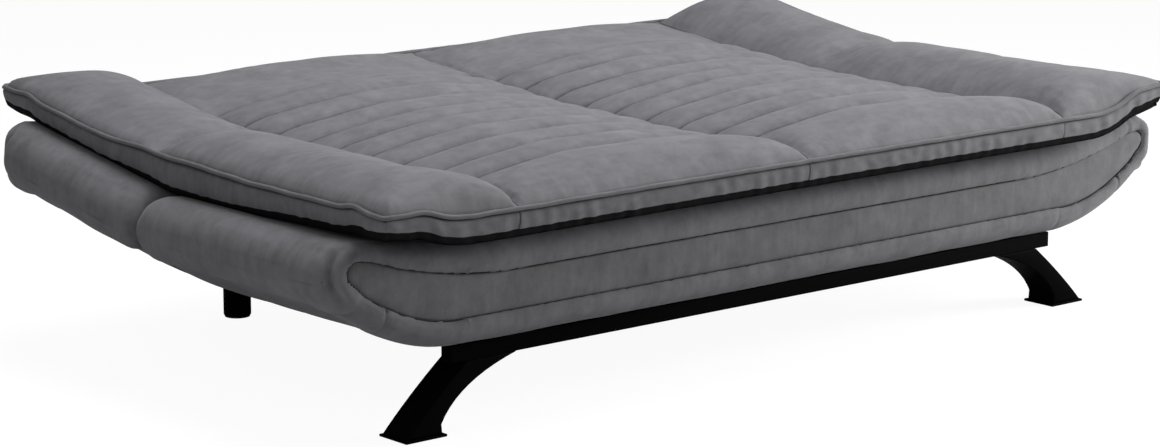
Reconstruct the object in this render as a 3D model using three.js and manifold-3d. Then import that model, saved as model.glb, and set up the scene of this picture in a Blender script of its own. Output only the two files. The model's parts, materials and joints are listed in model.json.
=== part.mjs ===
// Click clack sofa bed, laid flat as a bed, in millimetres and degrees.
// +X runs along the sofa, +Y to the rear and +Z up. The floor is z = 0, and the origin is on the
// floor under the middle of the bed.
//
// The seat and the back are two boat-shaped padded halves that meet at the fold. Each half is
// drawn in its own frame: x along the sofa, y away from the fold, and z up from the fold axis.
// The seat's frame is mirrored, so its y runs to the front, and the back's is tilted.
import * as THREE from "three";
import { mergeVertices } from "three/addons/utils/BufferGeometryUtils.js";
import Module from "manifold-3d";

// Driving dimensions
const LENGTH = 2094;
const SEAT_DEPTH = 602;
const BACK_DEPTH = 466;
const BACK_TILT = 9;
const FOLD_RANGE = 66;
const UNDERSIDE_HEIGHT = 160;
const BLOCK_HEIGHT = 193;
const AXIS_DROP = 13;

// Gaps
const GAP = 0.3;
const REST_GAP = 0.7;
const FOLD_GAP = 3;
const OVERRUN = 40;
const FOLD_SPARE_ANGLE = 1;

// Padded blocks: the ends rise like a boat's and close in a round nose
const END_LIFT = 18;
const NOSE_RADIUS = 60;
const TOP_RISE_LENGTH = 300;
const BOTTOM_RISE_LENGTH = 235;
const EDGE_RADIUS = 50;
const NOSE_EDGE_RADIUS = 40;
const OUTER_CORNER_RADIUS = 50;
const FOLD_CORNER_RADIUS = 30;
const PANEL_THICKNESS = 5;
const PANEL_TIP_SETBACK = 45;
const PANEL_TOP_DROP = 21;
const RISE_STEPS = 8;
const NOSE_STEPS = 6;
const NOSE_END_ANGLE = 80;
const CORNER_STEPS = 5;
const ROUNDING_LIMIT_SHARE = 0.96;

// Topper: a quilted pad on each half, with cross ribs between the end seams
const TOPPER_END_SETBACK = 67;
const TOPPER_FRONT_OVERHANG = 70;
const TOPPER_REAR_OVERHANG = 85;
const SEAM_X = 690;
const RIB_PITCH = 94.5;
const SEAT_RIBS = 5;
const BACK_RIBS = 3;
const VALLEY_HEIGHT = 82;
const RIB_RISE = 14;
const BAND_RISE = 10;
const SIDE_RISE = 36;
const EDGE_HEIGHT = 52;
const CORNER_LIFT = 27;
const CORNER_LIFT_LENGTH = 480;
const BACK_THINNING = 12;
const THINNING_LENGTH = 150;
const FOLD_EDGE_LIFT = 10;
const FOLD_DIP = 34;
const FOLD_DIP_LENGTH = 75;
const EDGE_FALL = 95;
const MASK_LENGTH = 110;
const BORDER_HEIGHT = 42;
const CORNER_BORDER_HEIGHT = 32;
const BORDER_TUCK = 6;
const UNDERSIDE_TUCK = 36;
const EDGE_DRAW = 9;
const ROWS_PER_RIB = 4;
const SEAM_DIP = 34;
const SEAM_DIP_LENGTH = 170;
const COLUMN_SHARES = [0, 0.03, 0.1, 0.22, 0.35, 0.48, 0.58, 0.66, 0.704, 0.75, 0.8, 0.86, 0.92, 0.97, 1];
const BAND_ROW_SHARES = [0.1, 0.28, 0.52, 0.74, 0.9, 1];

// Wooden frames inside the blocks
const FRAME_END_MARGIN = 307;
const BOARD_THICKNESS = 22;
const BOARD_HEIGHT = 100;
const FOLD_BOARD_SETBACK = 10;
const SLAT_WIDTH = 60;
const SLAT_THICKNESS = 12;
const SLAT_LIFT = 2;
const SEAT_SLATS = 5;
const BATTEN_WIDTH = 80;
const BATTEN_HEIGHT = 30;
const DUST_COVER = 2.4;

// Black steel base
const RAIL_SETBACK = 32;
const RAIL_END_MARGIN = 284;
const RAIL_HEIGHT = 30;
const RAIL_WIDTH = 30;
const SIDE_RAIL_INSET = 63;
const REAR_RAIL_SETBACK = 90;
const LEG_REACH = 99;
const LEG_RUN = 246;
const LEG_WIDTH = 70;
const LEG_TOP_SHARE = 0.455;
const LEG_HEEL_SHARES = [0.68, 0];
const LEG_ANKLE_SHARES = [0.687, 0.14];
const LEG_OUTER_BEND_SHARES = [0.77, 0.49];
const LEG_INNER_BEND_SHARES = [0.536, 0.71];
const LEG_CURVE_STEPS = 10;
const FOOT_THICKNESS = 5;
const FOOT_FLANGE = 4;
const FOOT_LENGTH = 90;
const REAR_LEG_SPREAD = 600;
const REAR_LEG_RADIUS = 25;
const POST_SPREAD = 1050;
const POST_SETBACK = 402;
const POST_RADIUS = 27.5;
const GLIDE_HEIGHT = 4;
const GLIDE_INSET = 2;
const BRACKET_SIZE = 76;
const BRACKET_THICKNESS = 4;
const ROUND_STEPS = 24;

// Click clack hinges: a toothed plate on the back turns on a bolt through the seat's plate
const PLATE_THICKNESS = 5;
const PLATE_GAP = 0.6;
const HUB_RADIUS = 18;
const SECTOR_RADIUS = 33;
const TOOTH_DEPTH = 6;
const NOTCH_COUNT = 5;
const NOTCH_WIDTH_ANGLE = 13;
const SECTOR_MARGIN_ANGLE = 11;
const CONTACT_ANGLE = 230;
const HUB_START_ANGLE = 75;
const HUB_END_ANGLE = 300;
const SEAT_HUB_START_ANGLE = -50;
const SEAT_HUB_END_ANGLE = 100;
const ARC_STEP_ANGLE = 15;
const FOOT_PLATE_START = 42;
const FOOT_PLATE_END = 150;
const FOOT_PLATE_TOP = 88;
const FOOT_PLATE_BOTTOM = 166;
const SHOULDER_DEPTH = 88;
const SHOULDER_DROP = 16;
const BOLT_RADIUS = 6;
const BOLT_HEAD_RADIUS = 11;
const BOLT_HEAD_HEIGHT = 6;
const NUT_RADIUS = 10;
const NUT_HEIGHT = 8;
const HEX_SIDES = 6;
const PAWL_LENGTH = 40;
const PAWL_OFFSET = 10;
const PAWL_HUB_RADIUS = 8;
const PAWL_WIDTH = 9;
const PAWL_PARK_GAP = 0.6;
const PAWL_TOOTH_BASE = 5;
const PAWL_TOOTH_TIP = 2.4;
const PIN_RADIUS = 4;
const PIN_HEAD_RADIUS = 7;
const PIN_HEAD_HEIGHT = 3;
const SPRING_THICKNESS = 1.2;
const SPRING_WIDTH = 3;
const SPRING_DROP = 12;
const SPRING_KNEE_SHARE = 0.4;
const SPRING_REACH_SHARE = 0.75;
const LUG_SIZE = 8;
const SLOT_MARGIN = 4;
const SLOT_LENGTH = 160;

// Finishes
const FINISHES = {
  fabric: { color: 0x69696c, roughness: 0.92, metalness: 0 },
  panelFabric: { color: 0x5f5f60, roughness: 0.92, metalness: 0 },
  liner: { color: 0x141414, roughness: 0.9, metalness: 0 },
  blackSteel: { color: 0x101011, roughness: 0.42, metalness: 0.6 },
  zincSteel: { color: 0x9b9c9e, roughness: 0.38, metalness: 0.9 },
  wood: { color: 0xb08a5c, roughness: 0.7, metalness: 0 },
  plastic: { color: 0x18181a, roughness: 0.6, metalness: 0 },
};

// Places that follow from the sizes above
const radians = THREE.MathUtils.degToRad;
const HALF_LENGTH = LENGTH / 2;
const TOPPER_LENGTH = LENGTH - 2 * TOPPER_END_SETBACK;
const TOPPER_FRONT = SEAT_DEPTH + TOPPER_FRONT_OVERHANG;
const TOPPER_REAR = BACK_DEPTH + TOPPER_REAR_OVERHANG;
const NOSE_X = HALF_LENGTH - NOSE_RADIUS;
const AXIS_Z = UNDERSIDE_HEIGHT + BLOCK_HEIGHT - AXIS_DROP;
const BLOCK_TOP_Z = AXIS_DROP;
const BLOCK_BOTTOM_Z = AXIS_DROP - BLOCK_HEIGHT;
const NOSE_Z = BLOCK_TOP_Z + END_LIFT - NOSE_RADIUS;
const BOTTOM_RISE = NOSE_Z - NOSE_RADIUS - BLOCK_BOTTOM_Z;
const NOTCH_PITCH = FOLD_RANGE / (NOTCH_COUNT - 1);
const HALF_FOLD_ANGLE = radians((BACK_TILT + FOLD_RANGE) / 2 + FOLD_SPARE_ANGLE);
const TILT = radians(BACK_TILT);
const REAR_CORNER_Z = BLOCK_TOP_Z + EDGE_HEIGHT - BACK_THINNING + CORNER_LIFT;
const REAR_REACH = TOPPER_REAR * Math.cos(TILT) - REAR_CORNER_Z * Math.sin(TILT);
const FOLD_Y = (TOPPER_FRONT - REAR_REACH) / 2;
const BACK_FRAME_HALF = HALF_LENGTH - FRAME_END_MARGIN;
const SEAT_FRAME_HALF = BACK_FRAME_HALF + GAP + PLATE_THICKNESS + GAP;
const SEAT_BOARD_END = SEAT_DEPTH - PANEL_THICKNESS - EDGE_RADIUS;
const BACK_BOARD_END = BACK_DEPTH - PANEL_THICKNESS - EDGE_RADIUS;
const BOARD_TOP_Z = BLOCK_BOTTOM_Z + BOARD_HEIGHT;
const COVER_TOP_Z = BLOCK_BOTTOM_Z - GAP;
const COVER_BOTTOM_Z = COVER_TOP_Z - DUST_COVER;
const RAIL_TOP_Z = COVER_BOTTOM_Z - GAP;
const RAIL_BOTTOM = AXIS_Z + RAIL_TOP_Z - RAIL_HEIGHT;
const RAIL_FRONT_Y = FOLD_Y - SEAT_DEPTH + RAIL_SETBACK;
const RAIL_END_X = HALF_LENGTH - RAIL_END_MARGIN;
const LEG_OUTER_X = RAIL_END_X + LEG_REACH;
const LEG_INNER_X = LEG_OUTER_X - LEG_RUN;
const BACK_PLATE_X = BACK_FRAME_HALF + GAP;
const SEAT_PLATE_X = BACK_PLATE_X + PLATE_THICKNESS + PLATE_GAP;
const BOLT_HEAD_X = SEAT_PLATE_X + PLATE_THICKNESS + GAP;
const NUT_X = BACK_PLATE_X - GAP - NUT_HEIGHT;
const SLOT_INNER_X = BACK_FRAME_HALF - BOARD_THICKNESS - SLOT_MARGIN;
const SLOT_OUTER_X = BOLT_HEAD_X + BOLT_HEAD_HEIGHT + SLOT_MARGIN;

const wasm = await Module();
wasm.setup();

// A closed geometry as a solid that can be cut.
function toSolid(geometry) {
  const bare = geometry.clone();
  bare.deleteAttribute("normal");
  bare.deleteAttribute("uv");
  const merged = mergeVertices(bare);
  const corners = merged.index.array;
  const kept = [];
  for (let i = 0; i < corners.length; i += 3) {
    const [a, b, c] = corners.slice(i, i + 3);
    if (a !== b && b !== c && c !== a) kept.push(a, b, c);
  }
  const vertProperties = new Float32Array(merged.attributes.position.array);
  return new wasm.Manifold(new wasm.Mesh({ numProp: 3, vertProperties, triVerts: new Uint32Array(kept) }));
}

function toGeometry(solid) {
  const mesh = solid.getMesh();
  const geometry = new THREE.BufferGeometry();
  const positions = new THREE.BufferAttribute(new Float32Array(mesh.vertProperties), mesh.numProp);
  geometry.setAttribute("position", positions);
  geometry.setIndex(new THREE.BufferAttribute(new Uint32Array(mesh.triVerts), 1));
  geometry.computeVertexNormals();
  return geometry;
}

function cut(geometry, cutters) {
  return toGeometry(cutters.reduce((solid, cutter) => solid.subtract(toSolid(cutter)), toSolid(geometry)));
}

function join(geometries) {
  return toGeometry(geometries.map(toSolid).reduce((whole, solid) => whole.add(solid)));
}

function material(finish) {
  return new THREE.MeshStandardMaterial(FINISHES[finish]);
}

function piece(name, geometry, finish) {
  const mesh = new THREE.Mesh(geometry, material(finish));
  mesh.name = name;
  return mesh;
}

function box(x, y, z) {
  const geometry = new THREE.BoxGeometry(x[1] - x[0], y[1] - y[0], z[1] - z[0]);
  return geometry.translate((x[0] + x[1]) / 2, (y[0] + y[1]) / 2, (z[0] + z[1]) / 2);
}

function grown(range, margin) {
  return [range[0] - margin, range[1] + margin];
}

function around(middle, size) {
  return [middle - size / 2, middle + size / 2];
}

// An outline in y and z, given its thickness along x.
function plate(shape, x, thickness) {
  const geometry = new THREE.ExtrudeGeometry(shape, { depth: thickness, bevelEnabled: false });
  const turn = new THREE.Matrix4().makeBasis(
    new THREE.Vector3(0, 1, 0),
    new THREE.Vector3(0, 0, 1),
    new THREE.Vector3(1, 0, 0),
  );
  return geometry.applyMatrix4(turn).translate(x, 0, 0);
}

// An outline in x and z, given its depth along y.
function slab(shape, y, depth) {
  const settings = { depth, bevelEnabled: false, curveSegments: LEG_CURVE_STEPS };
  const geometry = new THREE.ExtrudeGeometry(shape, settings);
  return geometry.rotateX(Math.PI / 2).translate(0, y + depth, 0);
}

function upright(radius, z) {
  const geometry = new THREE.CylinderGeometry(radius, radius, z[1] - z[0], ROUND_STEPS);
  return geometry.rotateX(Math.PI / 2).translate(0, 0, (z[0] + z[1]) / 2);
}

// A round shank along x with a head on its outer end.
function headedPin(shankRadius, headRadius, x, headHeight) {
  const profile = [
    [0, x[0]],
    [shankRadius, x[0]],
    [shankRadius, x[1]],
    [headRadius, x[1]],
    [headRadius, x[1] + headHeight],
    [0, x[1] + headHeight],
  ].map(([radius, along]) => new THREE.Vector2(radius, along));
  return new THREE.LatheGeometry(profile, ROUND_STEPS).rotateZ(-Math.PI / 2);
}

function arc(radius, from, to) {
  const steps = Math.max(1, Math.ceil(Math.abs(to - from) / ARC_STEP_ANGLE));
  return Array.from({ length: steps + 1 }, (_, i) => polar(radius, from + ((to - from) * i) / steps));
}

function polar(radius, angle) {
  return new THREE.Vector2(radius * Math.cos(radians(angle)), radius * Math.sin(radians(angle)));
}

function smooth(value) {
  const t = THREE.MathUtils.clamp(value, 0, 1);
  return t * t * (3 - 2 * t);
}

// How far along the rise at an end of a block a place is, from 0 to 1.
function riseAt(x, length) {
  return THREE.MathUtils.clamp((Math.abs(x) - NOSE_X) / length + 1, 0, 1);
}

function noseHalfHeight(x) {
  const past = Math.max(0, Math.abs(x) - NOSE_X);
  return Math.sqrt(Math.max(0, NOSE_RADIUS ** 2 - past ** 2));
}

function blockTop(x) {
  if (Math.abs(x) > NOSE_X) return NOSE_Z + noseHalfHeight(x);
  return BLOCK_TOP_Z + END_LIFT * riseAt(x, TOP_RISE_LENGTH) ** 2;
}

function blockBottom(x) {
  if (Math.abs(x) > NOSE_X) return NOSE_Z - noseHalfHeight(x);
  return BLOCK_BOTTOM_Z + BOTTOM_RISE * riseAt(x, BOTTOM_RISE_LENGTH) ** 2;
}

function edgeRadius(x) {
  const radius = THREE.MathUtils.lerp(EDGE_RADIUS, NOSE_EDGE_RADIUS, riseAt(x, BOTTOM_RISE_LENGTH));
  return Math.min(radius, ((blockTop(x) - blockBottom(x)) / 2) * ROUNDING_LIMIT_SHARE);
}

function cornerInset(x, radius) {
  const past = Math.max(0, Math.abs(x) - (HALF_LENGTH - radius));
  return radius - Math.sqrt(Math.max(0, radius ** 2 - past ** 2));
}

// The inner edges stay behind the plane that halves the fold, so the halves never meet.
function foldInset(x) {
  const slope = Math.sin(HALF_FOLD_ANGLE);
  const run = Math.cos(HALF_FOLD_ANGLE);
  const needed = (slope * blockTop(x) - (slope + run - 1) * edgeRadius(x)) / run;
  return FOLD_GAP + Math.max(0, needed);
}

function stations() {
  const start = NOSE_X - TOP_RISE_LENGTH;
  const half = [0];
  for (let i = 0; i <= RISE_STEPS; i += 1) half.push(start + (TOP_RISE_LENGTH * i) / RISE_STEPS);
  for (let i = 1; i <= NOSE_STEPS; i += 1) {
    half.push(NOSE_X + NOSE_RADIUS * Math.sin(radians((NOSE_END_ANGLE * i) / NOSE_STEPS)));
  }
  return [...half.slice(1).reverse().map((x) => -x), ...half];
}

// A rounded rectangle across the block at one place along it.
function blockSection(x, depth) {
  const radius = edgeRadius(x);
  const near = foldInset(x) + cornerInset(x, FOLD_CORNER_RADIUS) + radius;
  const far = depth - cornerInset(x, OUTER_CORNER_RADIUS) - radius;
  const low = blockBottom(x) + radius;
  const high = blockTop(x) - radius;
  const centres = [
    [far, low],
    [far, high],
    [near, high],
    [near, low],
  ];
  const ring = [];
  centres.forEach(([y, z], corner) => {
    for (let i = 0; i <= CORNER_STEPS; i += 1) {
      const angle = radians(90 * (corner - 1 + i / CORNER_STEPS));
      ring.push(new THREE.Vector3(x, y + radius * Math.cos(angle), z + radius * Math.sin(angle)));
    }
  });
  return ring;
}

// A closed skin over rings of the same number of points, with a flat fan on each end.
function loft(rings) {
  const count = rings[0].length;
  const points = rings.flat();
  const faces = [];
  for (let i = 0; i < rings.length - 1; i += 1) {
    for (let j = 0; j < count; j += 1) {
      const next = (j + 1) % count;
      const [a, b] = [i * count + j, i * count + next];
      faces.push(a, b, b + count, a, b + count, a + count);
    }
  }
  [rings[0], rings.at(-1)].forEach((ring, end) => {
    const middle = ring.reduce((sum, point) => sum.add(point), new THREE.Vector3()).divideScalar(count);
    const first = end * (rings.length - 1) * count;
    points.push(middle);
    for (let j = 0; j < count; j += 1) {
      const pair = [first + j, first + ((j + 1) % count)];
      if (end === 0) pair.reverse();
      faces.push(points.length - 1, ...pair);
    }
  });
  return meshGeometry(points, faces);
}

function meshGeometry(points, faces) {
  const geometry = new THREE.BufferGeometry().setFromPoints(points);
  geometry.setIndex(faces);
  geometry.computeVertexNormals();
  return geometry;
}

// The boards, slats and battens of one half, as named boxes: each has its x, y and z range.
function frameParts(prefix, frameHalf, boardEnd, slatPlaces, battenPlaces) {
  const z = [BLOCK_BOTTOM_Z, BOARD_TOP_Z];
  const endBoardInner = frameHalf - BOARD_THICKNESS;
  const crossX = [-endBoardInner + GAP, endBoardInner - GAP];
  const foldY = [FOLD_BOARD_SETBACK, FOLD_BOARD_SETBACK + BOARD_THICKNESS];
  const outerY = [boardEnd - BOARD_THICKNESS, boardEnd];
  const betweenY = [foldY[1] + GAP, outerY[0] - GAP];
  const slatZ = [BLOCK_BOTTOM_Z + SLAT_LIFT, BLOCK_BOTTOM_Z + SLAT_LIFT + SLAT_THICKNESS];
  const battenZ = [BLOCK_BOTTOM_Z, BLOCK_BOTTOM_Z + BATTEN_HEIGHT];
  const parts = [
    { name: `${prefix}_fold_board`, x: crossX, y: foldY, z },
    { name: `${prefix}_outer_board`, x: crossX, y: outerY, z },
    { name: `${prefix}_end_board_left`, x: [-frameHalf, -endBoardInner], y: [foldY[0], boardEnd], z },
    { name: `${prefix}_end_board_right`, x: [endBoardInner, frameHalf], y: [foldY[0], boardEnd], z },
  ];
  slatPlaces.forEach((x, i) => {
    parts.push({ name: `${prefix}_slat_${i + 1}`, x: around(x, SLAT_WIDTH), y: betweenY, z: slatZ });
  });
  battenPlaces.forEach((x, i) => {
    const side = i === 0 ? "left" : "right";
    parts.push({ name: `${prefix}_batten_${side}`, x: around(x, BATTEN_WIDTH), y: betweenY, z: battenZ });
  });
  return parts;
}

function hingeSlots() {
  const y = [-OVERRUN, SLOT_LENGTH];
  const z = [BLOCK_BOTTOM_Z - OVERRUN, BLOCK_TOP_Z + END_LIFT + OVERRUN];
  return [
    box([SLOT_INNER_X, SLOT_OUTER_X], y, z),
    box([-SLOT_OUTER_X, -SLOT_INNER_X], y, z),
  ];
}

// The foam block under its cover, cut out for the frame that it wraps and for the hinges.
function block(depth, parts) {
  const skin = loft(stations().map((x) => blockSection(x, depth - PANEL_THICKNESS)));
  const housings = parts.map((part) => {
    const z = [BLOCK_BOTTOM_Z - OVERRUN, part.z[1] + GAP];
    return box(grown(part.x, GAP), grown(part.y, GAP), z);
  });
  return cut(skin, [...housings, ...hingeSlots()]);
}

// The flat insert between the two welts of the long outer face.
function facePanel(depth) {
  const tip = HALF_LENGTH - PANEL_TIP_SETBACK;
  const inner = stations().filter((x) => Math.abs(x) < tip);
  const places = [-tip, ...inner, tip];
  const drop = (x) => PANEL_TOP_DROP * (1 - riseAt(x, TOP_RISE_LENGTH));
  const upper = places.map((x) => new THREE.Vector2(x, blockTop(x) - edgeRadius(x) - drop(x)));
  const lower = places.map((x) => new THREE.Vector2(x, blockBottom(x) + edgeRadius(x))).reverse();
  const start = depth - PANEL_THICKNESS + GAP;
  return slab(new THREE.Shape([...upper, ...lower]), start, depth - start);
}

function dustCover(frameHalf, boardEnd) {
  return box([-frameHalf, frameHalf], [FOLD_BOARD_SETBACK, boardEnd], [COVER_BOTTOM_Z, COVER_TOP_Z]);
}

// Heights over a topper, from the fold axis. The pad thins over the back by a given amount.
function edgeHeight(x, y, depth) {
  const half = TOPPER_LENGTH / 2;
  const corner = smooth((Math.abs(x) - half) / CORNER_LIFT_LENGTH + 1);
  const fold = FOLD_EDGE_LIFT * smooth(1 - y / depth) * corner;
  return BLOCK_TOP_Z + EDGE_HEIGHT + CORNER_LIFT * corner + fold;
}

function pillowHeight(x, y, ribs) {
  const valley = BLOCK_TOP_Z + VALLEY_HEIGHT;
  const bandStart = ribs * RIB_PITCH;
  const side = smooth((Math.abs(x) - SEAM_X) / MASK_LENGTH);
  const band = smooth((y - bandStart) / MASK_LENGTH);
  const seams = [0, SEAM_X].map((seam) => Math.abs(Math.abs(x) - seam) / SEAM_DIP_LENGTH);
  const seamDip = SEAM_DIP * (1 - smooth(Math.min(...seams))) * (1 - side);
  const rib = RIB_RISE * Math.sqrt(Math.abs(Math.sin((Math.PI * y) / RIB_PITCH)));
  const panel = y < bandStart && Math.abs(x) < SEAM_X ? rib : 0;
  return valley + Math.max(SIDE_RISE * side, BAND_RISE * band, panel) - seamDip;
}

function topperHeight(x, y, depth, ribs, thinning) {
  const half = TOPPER_LENGTH / 2;
  const toEdge = THREE.MathUtils.clamp(Math.min(half - Math.abs(x), depth - y) / EDGE_FALL, 0, 1);
  const fall = Math.sqrt(1 - (1 - toEdge) ** 2);
  const edge = edgeHeight(x, y, depth);
  const height = THREE.MathUtils.lerp(edge, Math.max(edge, pillowHeight(x, y, ribs)), fall);
  const side = smooth((Math.abs(x) - SEAM_X) / MASK_LENGTH);
  const dip = FOLD_DIP * smooth(1 - y / FOLD_DIP_LENGTH) * side * fall;
  return height - dip - thinning * smooth(y / THINNING_LENGTH);
}

// The tallest that a pad may be at a place beyond the plane that halves the fold.
function foldLimit(y) {
  return (y - FOLD_GAP) / Math.tan(HALF_FOLD_ANGLE);
}

// A closed pad: a quilted top, a drawn-in border, and an underside that rests on the block.
// Its face at the fold leans back by half the fold, so the two pads close without crossing.
function topper(depth, ribs, thinning) {
  const half = TOPPER_LENGTH / 2;
  const foldFace = (z) => FOLD_GAP + z * Math.tan(HALF_FOLD_ANGLE);
  const columns = [...COLUMN_SHARES.slice(1).reverse().map((share) => -share), ...COLUMN_SHARES];
  const bandStart = ribs * RIB_PITCH;
  const ribRows = ribs * ROWS_PER_RIB;
  const rows = ribRows + BAND_ROW_SHARES.length;

  // y of a row: the rows of the first rib start at the fold face, and the rest lie where they are.
  function rowY(row, start, end) {
    if (row <= ROWS_PER_RIB) return THREE.MathUtils.lerp(start, RIB_PITCH, row / ROWS_PER_RIB);
    if (row <= ribRows) return (row * RIB_PITCH) / ROWS_PER_RIB;
    return THREE.MathUtils.lerp(bandStart, end, BAND_ROW_SHARES[row - ribRows - 1]);
  }

  function surface(column, row, level) {
    const share = columns[column];
    if (level === 0) {
      const x = share * (half - EDGE_DRAW * Math.sin((Math.PI * row) / rows) * Math.abs(share) ** 4);
      const outer = depth - EDGE_DRAW * (1 - share * share);
      const start = foldFace(topperHeight(share * half, 0, depth, ribs, thinning));
      const y = rowY(row, start, outer);
      const place = (y * depth) / outer;
      const height = topperHeight(share * half, row === 0 ? 0 : place, depth, ribs, thinning);
      return new THREE.Vector3(x, y, Math.min(height, foldLimit(y)));
    }
    const x = share * (half - (level === 1 ? BORDER_TUCK : UNDERSIDE_TUCK));
    const outer = depth - EDGE_DRAW * (1 - share * share) - (level === 1 ? BORDER_TUCK : UNDERSIDE_TUCK);
    const under = blockTop(Math.min(Math.abs(x), NOSE_X)) + REST_GAP;
    const corner = smooth((Math.abs(x) - half) / CORNER_LIFT_LENGTH + 1);
    const border = THREE.MathUtils.lerp(BORDER_HEIGHT, CORNER_BORDER_HEIGHT, corner);
    const edge = surface(column, row, 0);
    const middle = row === 0 ? (edge.z + under) / 2 : Math.max(edge.z - border, under);
    const z = level === 1 ? middle : under;
    const start = foldFace(z);
    return new THREE.Vector3(x, row === 0 ? start : rowY(row, start, outer), z);
  }

  const lastColumn = columns.length - 1;
  const points = [];
  const top = columns.map((_, column) => {
    return Array.from({ length: rows + 1 }, (_unused, row) => points.push(surface(column, row, 0)) - 1);
  });
  const faces = [];
  for (let column = 0; column < lastColumn; column += 1) {
    for (let row = 0; row < rows; row += 1) {
      const [a, b] = [top[column][row], top[column + 1][row]];
      const [c, d] = [top[column + 1][row + 1], top[column][row + 1]];
      faces.push(a, b, c, a, c, d);
    }
  }

  // The rim, walked once round against the clock as seen from above.
  const rim = [];
  for (let column = 0; column < lastColumn; column += 1) rim.push([column, 0]);
  for (let row = 0; row < rows; row += 1) rim.push([lastColumn, row]);
  for (let column = lastColumn; column > 0; column -= 1) rim.push([column, rows]);
  for (let row = rows; row > 0; row -= 1) rim.push([0, row]);
  const levels = [rim.map(([column, row]) => top[column][row])];
  [1, 2].forEach((level) => {
    levels.push(rim.map(([column, row]) => points.push(surface(column, row, level)) - 1));
  });
  for (let level = 0; level < 2; level += 1) {
    rim.forEach((_, i) => {
      const next = (i + 1) % rim.length;
      const [a, b] = [levels[level][i], levels[level][next]];
      const [c, d] = [levels[level + 1][next], levels[level + 1][i]];
      faces.push(a, c, b, a, d, c);
    });
  }

  // The underside: one strip to a column, with a fan on each end strip.
  const under = new Map(rim.map((place, i) => [place.join(), levels[2][i]]));
  const at = (column, row) => under.get([column, row].join());
  for (let column = 1; column < lastColumn - 1; column += 1) {
    const [a, b] = [at(column, 0), at(column + 1, 0)];
    const [c, d] = [at(column + 1, rows), at(column, rows)];
    faces.push(a, c, b, a, d, c);
  }
  for (let row = 0; row < rows; row += 1) {
    faces.push(at(1, 0), at(0, row), at(0, row + 1));
    faces.push(at(lastColumn - 1, 0), at(lastColumn, row + 1), at(lastColumn, row));
  }
  faces.push(at(1, 0), at(0, rows), at(1, rows));
  faces.push(at(lastColumn - 1, 0), at(lastColumn - 1, rows), at(lastColumn, rows));
  return meshGeometry(points, faces);
}

function addFrame(group, parts) {
  parts.forEach((part) => group.add(piece(part.name, box(part.x, part.y, part.z), "wood")));
}

// The seat's padded half, in its own frame.
function seatHalf() {
  const group = new THREE.Group();
  const inner = SEAT_FRAME_HALF - BOARD_THICKNESS;
  const slats = Array.from({ length: SEAT_SLATS }, (_, i) => inner * ((2 * (i + 1)) / (SEAT_SLATS + 1) - 1));
  const parts = frameParts("seat", SEAT_FRAME_HALF, SEAT_BOARD_END, slats, []);
  addFrame(group, parts);
  group.add(piece("seat_block", block(SEAT_DEPTH, parts), "fabric"));
  group.add(piece("seat_front_panel", facePanel(SEAT_DEPTH), "panelFabric"));
  group.add(piece("seat_topper", topper(TOPPER_FRONT, SEAT_RIBS, 0), "fabric"));
  group.add(piece("seat_dust_cover", dustCover(SEAT_FRAME_HALF, SEAT_BOARD_END), "liner"));
  group.position.set(0, FOLD_Y, AXIS_Z);
  group.scale.y = -1;
  return group;
}

// The back's padded half, in its own frame, with its battens, hinge plates and post brackets.
function backHalf() {
  const group = new THREE.Group();
  const postX = POST_SPREAD / 2;
  const slats = [-postX / 2, 0, postX / 2];
  const parts = frameParts("back", BACK_FRAME_HALF, BACK_BOARD_END, slats, [-postX, postX]);
  addFrame(group, parts);
  group.add(piece("back_block", block(BACK_DEPTH, parts), "fabric"));
  group.add(piece("back_end_panel", facePanel(BACK_DEPTH), "panelFabric"));
  group.add(piece("back_topper", topper(TOPPER_REAR, BACK_RIBS, BACK_THINNING), "fabric"));
  group.add(piece("back_dust_cover", dustCover(BACK_FRAME_HALF, BACK_BOARD_END), "liner"));
  const bracketZ = [COVER_BOTTOM_Z - GAP - BRACKET_THICKNESS, COVER_BOTTOM_Z - GAP];
  const bracketY = around(POST_SETBACK, BRACKET_SIZE);
  const bracket = () => box(around(postX, BRACKET_SIZE), bracketY, bracketZ);
  group.add(...bothSides("post_bracket", bracket, "blackSteel"));
  group.add(...bothSides("back_hinge_plate", backHingePlate, "zincSteel"));
  group.position.set(0, FOLD_Y, AXIS_Z);
  group.rotation.x = TILT;
  group.updateMatrixWorld();
  return group;
}

// A piece and its mirror image: the geometry is drawn for the right, where x is positive.
function bothSides(name, makeGeometry, finish) {
  return ["left", "right"].map((side) => {
    const mesh = piece(`${name}_${side}`, makeGeometry(), finish);
    if (side === "left") mesh.scale.x = -1;
    return mesh;
  });
}

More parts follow.
